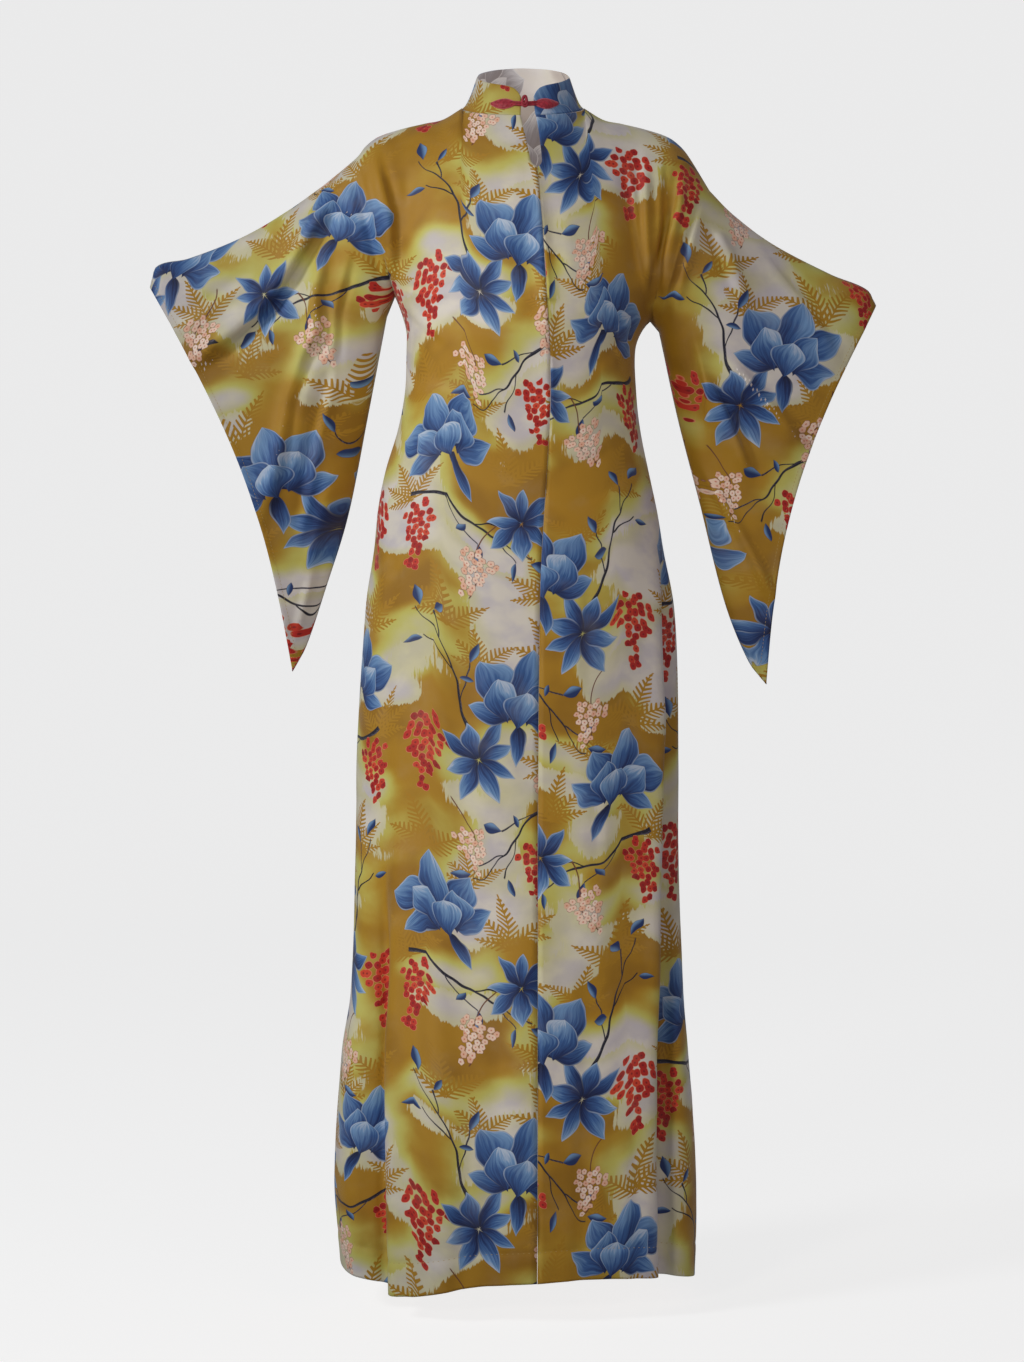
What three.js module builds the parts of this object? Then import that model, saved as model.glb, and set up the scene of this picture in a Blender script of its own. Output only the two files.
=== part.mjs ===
// A floor-length muumuu dress, filled out as on a standing wearer, in millimetres.
// +Z is up, the front faces -Y, and +X is the wearer's left. The origin lies between the shoulders, level with
// the foot of the collar, because the wearer's shoulders hold the dress up.
// The angel sleeves are cut in one with the two fronts and the back, so the seams run over the arms and
// shoulders, under the arms and down the sides, and down the centre front below a keyhole.
// Each cut piece of cloth is one closed wall: a grid of outer points, worked out from the tables below, whose
// inner points lie one wall's thickness inside. Pieces that are sewn together stay a narrow seam gap apart.
import * as THREE from 'three';

// Cloth.
const WALL = 1.6; // thickness of the cloth wall
const SEAM_GAP = 0.3; // gap between sewn pieces

// Neckline: a ring that is lower in front than behind.
const NECK = { halfWidth: 76, front: 70, back: 62, sideHeight: 20, frontSlope: 0.33, backSlope: 0.35 };

// Keyhole: a narrow slit from the neckline down the centre front, with a round lower end.
const KEYHOLE = { topHalfWidth: 9.5, lowHalfWidth: 6.7, low: -70, roundFrom: 0.86 };

// The centre front line, which drifts to the wearer's left on its way down.
const CENTRE_FRONT = [
  { z: -1422, x: 16 },
  { z: -600, x: 20 },
  { z: -360, x: 32 },
  { z: -200, x: 26 },
  { z: -70, x: 16.5 },
  { z: 10, x: 4 },
];

// Stand collar: it flares at its foot, and its ends drop in a curve to the closure at the centre front.
const COLLAR = { height: 40, frontHeight: 25, cornerAngle: 6, leanIn: 18, flare: 0.65, rows: 4 };

// Frog closure: two padded leaves on the collar's foot, and a knotted band that joins them over the keyhole.
// middle is the closure's angle from the centre front, and the leaves reach from leafFrom to leafTo either side.
const FROG = { middle: 1.8, leafFrom: 10.8, leafTo: 37, leafHalfHeight: 6.2, leafThickness: 3.2, height: 16, fall: 2 };
const LEAF_RIM = 1.3; // thickness of a leaf at its edge
const KNOT = { bandRadius: 1.7, knotRadius: 5, flatness: 0.52 };

// Level sections of the body. drop is the distance below the origin, half the half width, front and back the
// depths from the side seams, and shift the lean of the whole section to the side.
const BODY = [
  { drop: 215, half: 158, front: 116, back: 95, shift: 0 },
  { drop: 256, half: 146, front: 126, back: 94, shift: 0 },
  { drop: 281, half: 142.5, front: 127, back: 91, shift: -2.5 },
  { drop: 331, half: 144, front: 119, back: 86, shift: -3 },
  { drop: 381, half: 151, front: 111, back: 88, shift: -5 },
  { drop: 431, half: 163.5, front: 107, back: 96, shift: -7.5 },
  { drop: 481, half: 174, front: 106, back: 106, shift: -7 },
  { drop: 531, half: 180.5, front: 108, back: 117, shift: -5.5 },
  { drop: 606, half: 192.5, front: 112, back: 124, shift: -3.5 },
  { drop: 756, half: 200, front: 116, back: 118, shift: -6 },
  { drop: 906, half: 201.5, front: 118, back: 116, shift: -7.5 },
  { drop: 1081, half: 207.5, front: 124, back: 122, shift: -7.5 },
  { drop: 1156, half: 216, front: 129, back: 127, shift: -10 },
  { drop: 1306, half: 225.5, front: 138, back: 137, shift: -9.5 },
  { drop: 1422, half: 221, front: 141, back: 140, shift: -7 },
];
const CHEST_DROP = 236; // level of the armpit row at the centre
const HEM_DROP = BODY[BODY.length - 1].drop;
const SQUARENESS = 2.3; // exponent of the level sections: 2 is an ellipse
const YOKE_ROUND = 1.15; // how soon the front swells below the neckline: 1 is straight
const SHOULDER_ROUND = 2; // and below the shoulder seam

// Top edge of the panels from the neck outwards. at is the share of the way to where the sleeve's tables begin.
const SHOULDER = [
  { at: 0, x: 76, z: 20 },
  { at: 0.1, x: 99, z: 6 },
  { at: 0.25, x: 122, z: 1 },
  { at: 0.46, x: 152, z: -6 },
  { at: 0.64, x: 181, z: -16 },
  { at: 0.76, x: 197, z: -28 },
  { at: 0.84, x: 208, z: -42 },
];
const CAP_SHARE = 0.19; // share of that edge that lies past the armpit

// The two angel sleeves. top runs down the arm to the upper corner of the cuff, low from the underarm to the
// cuff's lower point, bow is how far the cuff edge curves in, and armpit is where the side seam begins.
const SLEEVES = {
  left: {
    side: 1,
    armpit: { x: 159, drop: 246 },
    top: [
      { at: 0, x: 233, z: -83 },
      { at: 0.2, x: 262, z: -112 },
      { at: 0.45, x: 312, z: -149 },
      { at: 0.75, x: 385, z: -187 },
      { at: 0.92, x: 430, z: -206 },
      { at: 1, x: 441, z: -226 },
    ],
    low: [
      { at: 0, x: 170, z: -259 },
      { at: 0.3, x: 193, z: -366 },
      { at: 0.55, x: 221, z: -474 },
      { at: 0.8, x: 253, z: -600 },
      { at: 0.93, x: 282, z: -671 },
      { at: 1, x: 304, z: -699 },
    ],
    bow: 34,
  },
  right: {
    side: -1,
    armpit: { x: 160, drop: 215 },
    top: [
      { at: 0, x: 250, z: -77 },
      { at: 0.2, x: 293, z: -107 },
      { at: 0.45, x: 350, z: -140 },
      { at: 0.75, x: 418, z: -167 },
      { at: 0.92, x: 458, z: -177 },
      { at: 1, x: 466, z: -203 },
    ],
    low: [
      { at: 0, x: 170, z: -240 },
      { at: 0.3, x: 194, z: -366 },
      { at: 0.55, x: 218, z: -487 },
      { at: 0.8, x: 247, z: -581 },
      { at: 0.93, x: 271, z: -652 },
      { at: 1, x: 288, z: -683 },
    ],
    bow: 31,
  },
};
// Half depth of the sleeves' sections from the armhole to the cuff.
const SLEEVE_DEPTH = [
  { at: 0, depth: 54 },
  { at: 0.25, depth: 45 },
  { at: 0.6, depth: 33 },
  { at: 1, depth: 26 },
];
const TEARDROP = 0.35; // how much the sections narrow towards their low edge at the cuff

// Deep folds of the skirt: the front stands forward at a crest and rolls over a hollow beside it. highX and lowX
// place the crest at drops start and the hem, and the fold grows from start to full.
const SKIRT_FOLDS = [
  { side: 1, highX: 168, lowX: 153, rise: 9, sink: 30, roll: 12, start: 480, full: 760 },
  { side: -1, highX: 146, lowX: 141, rise: 9, sink: 28, roll: 12, start: 780, full: 1150 },
];
const FOLD_WIDTH = 7; // degrees round the section
const HOLLOW_OFFSET = 13;
const HOLLOW_WIDTH = 9;
const FOLD_EDGE = { from: 78, to: 90 }; // a fold fades out towards the side seam

// Soft creases, as lines in the front view with a half width and a height. Both ends fade out.
const FRONT_CREASES = [
  { from: [14, -84], to: [40, -420], width: 9, rise: 3.2 },
  { from: [150, -52], to: [152, -226], width: 8, rise: 5 },
  { from: [199, -58], to: [170, -232], width: 7, rise: 6 },
  { from: [222, -92], to: [182, -246], width: 8, rise: 5 },
  { from: [124, -70], to: [138, -218], width: 9, rise: -4 },
  { from: [-183, -56], to: [-160, -220], width: 9, rise: 5 },
  { from: [-140, -60], to: [-150, -210], width: 10, rise: -3.5 },
  { from: [-243, -100], to: [-304, -210], width: 10, rise: 7 },
  { from: [-286, -184], to: [-414, -310], width: 12, rise: 8 },
  { from: [-246, -170], to: [-262, -300], width: 10, rise: 6 },
  { from: [-260, -290], to: [-322, -500], width: 14, rise: 7 },
  { from: [-232, -420], to: [-282, -640], width: 12, rise: 5 },
  { from: [236, -136], to: [282, -240], width: 10, rise: 6 },
  { from: [236, -292], to: [352, -420], width: 14, rise: 8 },
  { from: [214, -310], to: [286, -452], width: 11, rise: 6 },
  { from: [216, -440], to: [316, -610], width: 12, rise: 7 },
  { from: [82, -700], to: [96, -1080], width: 22, rise: 4 },
  { from: [-64, -560], to: [-74, -1180], width: 26, rise: -4 },
  { from: [12, -900], to: [20, -1422], width: 30, rise: 6 },
  { from: [-92, -960], to: [-96, -1422], width: 20, rise: 6 },
];
const BACK_CREASES = [
  { from: [150, -60], to: [156, -226], width: 9, rise: 5 },
  { from: [-150, -60], to: [-156, -216], width: 9, rise: 5 },
  { from: [205, -84], to: [178, -240], width: 9, rise: 5 },
  { from: [-205, -80], to: [-178, -230], width: 9, rise: 5 },
  { from: [236, -128], to: [292, -300], width: 12, rise: 7 },
  { from: [-250, -118], to: [-300, -300], width: 12, rise: 7 },
  { from: [232, -300], to: [330, -470], width: 14, rise: 7 },
  { from: [-236, -300], to: [-330, -480], width: 14, rise: 7 },
  { from: [218, -420], to: [290, -640], width: 12, rise: 6 },
  { from: [-214, -420], to: [-276, -630], width: 12, rise: 6 },
  { from: [128, -640], to: [158, -1422], width: 24, rise: 15 },
  { from: [-134, -620], to: [-166, -1422], width: 24, rise: 15 },
  { from: [54, -720], to: [62, -1422], width: 26, rise: -12 },
  { from: [-46, -760], to: [-52, -1422], width: 26, rise: -12 },
  { from: [4, -800], to: [6, -1422], width: 22, rise: 10 },
];
const CREASE_FADE = 0.22; // share of its length over which a crease rises at each end
const CREASE_EDGE = { from: 70, to: 90 }; // degrees from the centre over which creases fade to the side seam
const CREASE_RIM = 0.15; // share of the section over which they fade to the seams over and under the arm

// The hem's rise and fall round the skirt, by the angle from the centre front, +X positive.
const HEM_WAVE = [
  { angle: -180, drop: -3 },
  { angle: -95, drop: -8 },
  { angle: -62, drop: 2 },
  { angle: -36, drop: 14 },
  { angle: -8, drop: -3 },
  { angle: 20, drop: -10 },
  { angle: 52, drop: -3 },
  { angle: 95, drop: 12 },
  { angle: 180, drop: -3 },
];
const HEM_WAVE_REACH = 160; // height over which the wave fades out

// Where a panel's columns and rows stand. Across, 0 is the centre, 1 the side seam and armpit, 2 the end of the
// shoulder and 3 the cuff. Down, 0 is the top edge, 1 the armpit and the low edge of the sleeve, and 2 the hem.
const NECK_SHARE = 0.28; // where the neckline ends and the shoulder seam begins
const FRONT_COLUMNS = { neck: 6, body: 10, cap: 2, sleeve: 11 };
const BACK_COLUMNS = { neck: 5, body: 8, cap: 2, sleeve: 11 };
const NECK_EASE = 1.4; // above 1, columns stand closer at the keyhole than at the shoulder
const UPPER_ROWS = [0, 0.12, 0.215, 0.265, 0.288, 0.4, 0.52, 0.64, 0.76, 0.89, 1];
const LOWER_ROWS = [1.012, 1.03, 1.06, 1.1, 1.145, 1.19, 1.24, 1.29, 1.35, 1.41, 1.48, 1.55, 1.62, 1.69, 1.76, 1.83,
  1.89, 1.95, 2];
const FRONT_SPREAD = [
  { across: 0, angle: 0 },
  { across: 0.34, angle: 38 },
  { across: 0.86, angle: 74 },
  { across: 1, angle: 90 },
];
const EVEN_SPREAD = [
  { across: 0, angle: 0 },
  { across: 1, angle: 90 },
];
const ARMPIT_ARCH = 11; // drop over which the body draws in below the armpit

const RADIAN = Math.PI / 180;
const SECTION_POWER = 2 / SQUARENESS;
const mix = (a, b, t) => a + (b - a) * t;
const ramp = (from, to, at) => THREE.MathUtils.smoothstep(at, from, to);
const bell = (x) => Math.exp(-x * x);
const power = (x, exponent) => Math.sign(x) * Math.abs(x) ** exponent;

// A column of a table at a place between its rows, on a smooth curve through them.
function read(table, place, column, at) {
  const last = table.length - 1;
  let i = 0;
  while (i < last - 1 && at > table[i + 1][place]) i++;
  const slope = (j) => {
    const low = table[Math.max(j - 1, 0)];
    const high = table[Math.min(j + 1, last)];
    return (high[column] - low[column]) / (high[place] - low[place]);
  };
  const run = table[i + 1][place] - table[i][place];
  const t = THREE.MathUtils.clamp((at - table[i][place]) / run, 0, 1);
  const bend = t * (1 - t) * ((1 - t) * slope(i) - t * slope(i + 1)) * run;
  return mix(table[i][column], table[i + 1][column], t * t * (3 - 2 * t)) + bend;
}

// How far the creases lift the cloth at a point of the front view.
function creaseLift(creases, x, z) {
  let lift = 0;
  for (const { from, to, width, rise } of creases) {
    const [x0, z0] = from;
    const [x1, z1] = to;
    const long = Math.hypot(x1 - x0, z1 - z0);
    const along = ((x - x0) * (x1 - x0) + (z - z0) * (z1 - z0)) / (long * long);
    const across = ((x - x0) * (z1 - z0) - (z - z0) * (x1 - x0)) / long;
    const runsIntoHem = z1 <= -HEM_DROP;
    const fadeOut = runsIntoHem ? 1 : 1 - ramp(1 - CREASE_FADE, 1, along);
    lift += rise * bell(across / width) * ramp(0, CREASE_FADE, along) * fadeOut;
  }
  return lift;
}

// The neckline at an angle from the centre front, in degrees.
function necklinePoint(angle) {
  const ahead = Math.cos(angle * RADIAN);
  const y = -ahead * (ahead > 0 ? NECK.front : NECK.back);
  const slope = ahead > 0 ? NECK.frontSlope : NECK.backSlope;
  return new THREE.Vector3(NECK.halfWidth * Math.sin(angle * RADIAN), y, NECK.sideHeight + slope * y);
}

// The edge of a front along the centre line: the keyhole's rim, and the seam below it.
function centreEdge(side, z) {
  const top = necklinePoint(0).z;
  const down = (top - z) / (top - KEYHOLE.low);
  const past = THREE.MathUtils.clamp((down - KEYHOLE.roundFrom) / (1 - KEYHOLE.roundFrom), 0, 1);
  const open = mix(KEYHOLE.topHalfWidth, KEYHOLE.lowHalfWidth, Math.min(down, 1)) * Math.sqrt(1 - past ** 2);
  return read(CENTRE_FRONT, 'z', 'x', z) + side * Math.max(open, SEAM_GAP / 2);
}

// The neckline's angle from the centre front, for a share of the way from the centre to the shoulder seam.
function necklineAngle(face, side, share) {
  if (face > 0) return side * (180 - 90 * share);
  const start = Math.asin(centreEdge(side, necklinePoint(0).z) / NECK.halfWidth) / RADIAN;
  return mix(start, side * 90, share ** NECK_EASE);
}

// Signed degrees from the middle of the face, for a share of the way from the centre line to the side seam.
function sectionAngle(face, side, across, drop) {
  const spread = read(face < 0 ? FRONT_SPREAD : EVEN_SPREAD, 'across', 'angle', across);
  if (face > 0) return side * spread;
  const shift = read(BODY, 'drop', 'shift', drop);
  const centre = (read(CENTRE_FRONT, 'z', 'x', -drop) - shift) / read(BODY, 'drop', 'half', drop);
  return mix(Math.asin(power(centre, 1 / SECTION_POWER)) / RADIAN, side * 90, spread / 90);
}

// How far the skirt's deep folds push the front out and roll it sideways.
function foldPush(angle, drop, half) {
  const push = { out: 0, side: 0 };
  for (const fold of SKIRT_FOLDS) {
    if (fold.side * angle <= 0) continue;
    const crestX = mix(fold.highX, fold.lowX, ramp(fold.start, HEM_DROP, drop));
    const crest = Math.asin(Math.min((crestX / half) ** (1 / SECTION_POWER), 1)) / RADIAN;
    const around = Math.abs(angle) - crest;
    const grown = ramp(fold.start, fold.full, drop) * (1 - ramp(FOLD_EDGE.from, FOLD_EDGE.to, Math.abs(angle)));
    const ridge = bell(around / FOLD_WIDTH);
    const hollow = bell((around - HOLLOW_OFFSET) / HOLLOW_WIDTH);
    push.out += (fold.rise * ridge - fold.sink * hollow) * grown;
    push.side += fold.roll * ridge * grown;
  }
  return push;
}

// A point of the skirt and lower body. face is -1 on the front and 1 on the back.
function bodyPoint(face, side, across, drop) {
  const angle = sectionAngle(face, side, across, drop);
  const half = read(BODY, 'drop', 'half', drop);
  const depth = read(BODY, 'drop', face < 0 ? 'front' : 'back', drop);
  const x = half * power(Math.sin(angle * RADIAN), SECTION_POWER);
  const y = depth * power(Math.max(Math.cos(angle * RADIAN), 0), SECTION_POWER);
  const out = new THREE.Vector2(x / (half * half), y / (depth * depth)).normalize();
  const push = face < 0 ? foldPush(angle, drop, half) : { out: 0, side: 0 };
  const creases = face < 0 ? FRONT_CREASES : BACK_CREASES;
  push.out += creaseLift(creases, x, -drop) * (1 - ramp(CREASE_EDGE.from, CREASE_EDGE.to, Math.abs(angle)));
  const round = face < 0 ? angle : Math.sign(angle || 1) * 180 - angle;
  const wave = read(HEM_WAVE, 'angle', 'drop', round) * ramp(HEM_DROP - HEM_WAVE_REACH, HEM_DROP, drop);
  const { armpit } = side > 0 ? SLEEVES.left : SLEEVES.right;
  const flare = armpit.x - read(BODY, 'drop', 'half', armpit.drop) - side * read(BODY, 'drop', 'shift', armpit.drop);
  const arch = flare * Math.exp((armpit.drop - drop) / ARMPIT_ARCH) * across ** 6;
  const centreGap = face < 0 ? (1 - across) * SEAM_GAP / 2 : 0;
  const sideways = side * (out.y * push.side + arch + centreGap);
  return new THREE.Vector3(
    x + out.x * push.out + sideways + read(BODY, 'drop', 'shift', drop),
    face * (y + out.y * push.out - Math.abs(out.x) * push.side + SEAM_GAP / 2),
    -drop - wave,
  );
}

// The drop of the row that runs from the centre to the armpit.
function armpitRowDrop(side, across) {
  const { armpit } = side > 0 ? SLEEVES.left : SLEEVES.right;
  return mix(CHEST_DROP, armpit.drop, across ** 2);
}

// A point above the armpit row, from the neckline and shoulder down, as far out as the end of the shoulder.
function upperPoint(face, side, across, down) {
  const sleeve = side > 0 ? SLEEVES.left : SLEEVES.right;
  const inner = Math.min(across, 1);
  const low = bodyPoint(face, side, inner, armpitRowDrop(side, inner));
  let top;
  if (across <= NECK_SHARE) {
    top = necklinePoint(necklineAngle(face, side, across / NECK_SHARE));
  } else {
    const along = mix((1 - CAP_SHARE) * (inner - NECK_SHARE) / (1 - NECK_SHARE), 1, Math.max(across - 1, 0));
    const edge = [...SHOULDER, { at: 1, x: sleeve.top[0].x, z: sleeve.top[0].z }];
    top = new THREE.Vector3(side * read(edge, 'at', 'x', along), 0, read(edge, 'at', 'z', along));
  }
  if (across > 1) {
    const past = across - 1;
    low.x = side * mix(sleeve.armpit.x, sleeve.low[0].x, past);
    low.z = mix(-sleeve.armpit.drop, sleeve.low[0].z, past);
  }
  const armDepth = SLEEVE_DEPTH[0].depth * ramp(0.35, 1, across);
  const round = mix(YOKE_ROUND, SHOULDER_ROUND, ramp(0, 0.5, across));
  const fromTop = top.y ** 2 * (1 - down) ** round;
  const fromLow = Math.max(Math.abs(low.y) - SEAM_GAP / 2, 0) ** 2 * (1 - (1 - down) ** round);
  const depth = Math.sqrt(fromTop + fromLow + armDepth ** 2 * 4 * down * (1 - down));
  const z = mix(top.z, low.z, down);
  let x = mix(top.x, low.x, down);
  if (face < 0 && across < NECK_SHARE) {
    const straight = mix(centreEdge(side, necklinePoint(0).z), centreEdge(side, -CHEST_DROP), down);
    x += (centreEdge(side, z) - straight) * (1 - across / NECK_SHARE) ** 2;
  }
  const rim = ramp(0, CREASE_RIM, down) * (1 - ramp(1 - CREASE_RIM, 1, down) * ramp(0.8, 1, across));
  const lift = creaseLift(face < 0 ? FRONT_CREASES : BACK_CREASES, x, z) * rim * (down < 1 ? 1 : 0);
  return new THREE.Vector3(x, face * (depth + lift + SEAM_GAP / 2), z);
}

// A point of a sleeve. along runs from the end of the shoulder to the cuff, and down from the top of the arm to
// the low edge.
function sleevePoint(face, side, along, down) {
  const { top, low, bow } = side > 0 ? SLEEVES.left : SLEEVES.right;
  const x0 = read(top, 'at', 'x', along);
  const x1 = read(low, 'at', 'x', along);
  const x = side * (mix(x0, x1, down) - bow * along ** 2 * Math.sin(Math.PI * down));
  const z = mix(read(top, 'at', 'z', along), read(low, 'at', 'z', along), down);
  const thin = TEARDROP * along;
  const round = 2 * down ** 0.5 * (1 - down) ** (0.5 + thin) * (1 + thin);
  const depth = read(SLEEVE_DEPTH, 'at', 'depth', along) * round;
  const rim = ramp(0, CREASE_RIM, down) * (1 - ramp(1 - CREASE_RIM, 1, down));
  const lift = creaseLift(face < 0 ? FRONT_CREASES : BACK_CREASES, x, z) * rim;
  return new THREE.Vector3(x, face * (depth + lift + SEAM_GAP / 2), z);
}

function panelPoint(face, side, across, down) {
  if (across > 2) return sleevePoint(face, side, across - 2, down);
  if (down <= 1) return upperPoint(face, side, across, down);
  return bodyPoint(face, side, across, mix(armpitRowDrop(side, across), HEM_DROP, down - 1));
}

// A closed wall from outer points and faces. Each face is four point numbers, anticlockwise from outside.
// A point's flat directions are the ones that its wall must not lean in, as where two pieces meet.
function clothWall(points, faces, flat = new Map()) {
  const normals = points.map(() => new THREE.Vector3());
  for (const [a, b, c, d] of faces) {
    const across = points[c].clone().sub(points[a]);
    const down = points[d].clone().sub(points[b]);
    const normal = across.cross(down);
    for (const corner of [a, b, c, d]) normals[corner].add(normal);
  }
  const inner = points.map((point, i) => {
    const normal = normals[i];
    for (const direction of flat.get(i) ?? []) normal.addScaledVector(direction, -normal.dot(direction));
    return point.clone().addScaledVector(normal.normalize(), -WALL);
  });
  const open = new Map();
  for (const face of faces) {
    face.forEach((a, i) => {
      const b = face[(i + 1) % face.length];
      if (!open.delete(`${b},${a}`)) open.set(`${a},${b}`, [a, b]);
    });
  }
  const all = [...points, ...inner];
  const shift = points.length;
  const corners = [];
  const quad = (a, b, c, d) => {
    const short = all[a].distanceToSquared(all[c]) <= all[b].distanceToSquared(all[d]);
    corners.push(...(short ? [a, b, c, a, c, d] : [b, c, d, b, d, a]));
  };
  for (const [a, b, c, d] of faces) {
    quad(a, b, c, d);
    quad(d + shift, c + shift, b + shift, a + shift);
  }
  for (const [a, b] of open.values()) quad(b, a, a + shift, b + shift);
  const geometry = new THREE.BufferGeometry();
  geometry.setAttribute('position', new THREE.Float32BufferAttribute(all.flatMap((p) => p.toArray()), 3));
  geometry.setIndex(corners);
  geometry.computeVertexNormals();
  return geometry;
}

// Shares across a panel for its columns.
function columnShares({ neck, body, cap, sleeve }) {
  const shares = [];
  for (let i = 0; i < neck; i++) shares.push(NECK_SHARE * i / neck);
  for (let i = 0; i < body; i++) shares.push(mix(NECK_SHARE, 1, i / body));
  for (let i = 0; i < cap; i++) shares.push(1 + i / cap);
  for (let i = 0; i <= sleeve; i++) shares.push(2 + i / sleeve);
  return shares;
}

// A panel in one piece from hem to cuff, on one side of the centre or on both.
function panelGeometry(face, sides, counts) {
  const shares = columnShares(counts);
  const sideSeam = counts.neck + counts.body;
  const rows = [...UPPER_ROWS, ...LOWER_ROWS];
  const armpitRow = UPPER_ROWS.length - 1;
  const lastRow = (column) => (column <= sideSeam ? rows.length - 1 : armpitRow);
  const overSeams = new THREE.Vector3(0, 1, 0);
  const overCentre = new THREE.Vector3(1, 0, 0);
  const points = [];
  const flat = new Map();
  const faces = [];
  const number = {};
  for (const side of sides) {
    for (let column = 0; column < shares.length; column++) {
      for (let row = 0; row <= lastRow(column); row++) {
        if (column === 0 && side !== sides[0]) {
          number[`${side},0,${row}`] = number[`${sides[0]},0,${row}`];
          continue;
        }
        number[`${side},${column},${row}`] = points.length;
        const onShoulder = row === 0 && column >= counts.neck;
        const onUnderarm = column >= sideSeam && row >= armpitRow;
        const straight = onShoulder || onUnderarm ? [overSeams] : [];
        if (column === 0 && sides.length === 1) straight.push(overCentre);
        flat.set(points.length, straight);
        points.push(panelPoint(face, side, shares[column], rows[row]));
      }
    }
    for (let column = 0; column + 1 < shares.length; column++) {
      for (let row = 0; row < lastRow(column + 1); row++) {
        const corners = [[column, row], [column, row + 1], [column + 1, row + 1], [column + 1, row]];
        const quad = corners.map(([i, j]) => number[`${side},${i},${j}`]);
        faces.push(face * side < 0 ? quad : quad.reverse());
      }
    }
  }
  return clothWall(points, faces, flat);
}

// A point on the collar's outer face: angle from the centre front in degrees, height above the neck seam, and
// distance out from that face.
function collarPoint(angle, height, out = 0) {
  const base = necklinePoint(angle);
  const inward = 1 - (COLLAR.leanIn / NECK.halfWidth) * (height / COLLAR.height) ** COLLAR.flare;
  const level = new THREE.Vector2(base.x, base.y).multiplyScalar(inward);
  const outward = level.clone().setLength(out);
  return new THREE.Vector3(level.x + outward.x, level.y + outward.y, base.z + height);
}

// The collar runs round the neckline from one edge of the keyhole to the other. Its columns stand on those of the
// panels below it.
function collarGeometry() {
  const angles = [];
  for (const [face, side, count] of [[-1, 1, FRONT_COLUMNS.neck], [1, 1, BACK_COLUMNS.neck]]) {
    for (let i = 0; i < count; i++) angles.push(necklineAngle(face, side, face < 0 ? i / count : 1 - i / count));
  }
  for (const [face, side, count] of [[1, -1, BACK_COLUMNS.neck], [-1, -1, FRONT_COLUMNS.neck]]) {
    for (let i = 0; i < count; i++) angles.push(necklineAngle(face, side, face > 0 ? i / count : 1 - i / count) + 360);
  }
  angles.push(necklineAngle(-1, -1, 0) + 360);
  const last = angles.length - 1;
  const points = [];
  const flat = new Map();
  for (let row = 0; row <= COLLAR.rows; row++) {
    for (const angle of angles) {
      const fromEnd = Math.min(angle - angles[0], angles[last] - angle);
      const full = mix(COLLAR.frontHeight, COLLAR.height, 1 - Math.exp(-fromEnd / COLLAR.cornerAngle));
      if (row === 0) flat.set(points.length, [new THREE.Vector3(0, 0, 1)]);
      points.push(collarPoint(angle, mix(SEAM_GAP, full, row / COLLAR.rows)));
    }
  }
  const faces = [];
  for (let row = 0; row < COLLAR.rows; row++) {
    for (let column = 0; column < last; column++) {
      const a = row * angles.length + column;
      faces.push([a, a + 1, a + 1 + angles.length, a + angles.length]);
    }
  }
  return clothWall(points, faces, flat);
}

// One leaf of the frog, padded, lying on the collar from the knot outwards.
function leafGeometry(side) {
  const steps = 9;
  const strips = 4;
  const front = [];
  const back = [];
  for (let i = 0; i <= steps; i++) {
    const along = i / steps;
    const angle = FROG.middle + side * mix(FROG.leafFrom, FROG.leafTo, along);
    const half = FROG.leafHalfHeight * (0.22 + 0.78 * Math.sin(Math.PI * along ** 0.85));
    for (let k = 0; k <= strips; k++) {
      const across = mix(-1, 1, k / strips);
      const height = FROG.height + half * across - FROG.fall * along;
      const swell = (1 - across ** 2) * Math.sin(Math.PI * mix(0.12, 0.88, along));
      back.push(collarPoint(angle, height, SEAM_GAP));
      front.push(collarPoint(angle, height, SEAM_GAP + LEAF_RIM + FROG.leafThickness * swell));
    }
  }
  const wide = strips + 1;
  const shift = front.length;
  const corners = [];
  const add = (...quad) => {
    const [a, b, c, d] = side > 0 ? quad : quad.reverse();
    corners.push(a, b, c, a, c, d);
  };
  for (let i = 0; i < steps; i++) {
    for (let k = 0; k < strips; k++) {
      const a = i * wide + k;
      add(a, a + wide, a + wide + 1, a + 1);
      add(a + 1 + shift, a + wide + 1 + shift, a + wide + shift, a + shift);
    }
    const low = i * wide;
    const top = low + strips;
    add(top, top + wide, top + wide + shift, top + shift);
    add(low + shift, low + wide + shift, low + wide, low);
  }
  for (let k = 0; k < strips; k++) {
    const end = steps * wide + k;
    add(k + shift, k, k + 1, k + 1 + shift);
    add(end, end + shift, end + 1 + shift, end + 1);
  }
  const geometry = new THREE.BufferGeometry();
  const all = [...front, ...back].flatMap((point) => point.toArray());
  geometry.setAttribute('position', new THREE.Float32BufferAttribute(all, 3));
  geometry.setIndex(corners);
  geometry.computeVertexNormals();
  return geometry;
}

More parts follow.
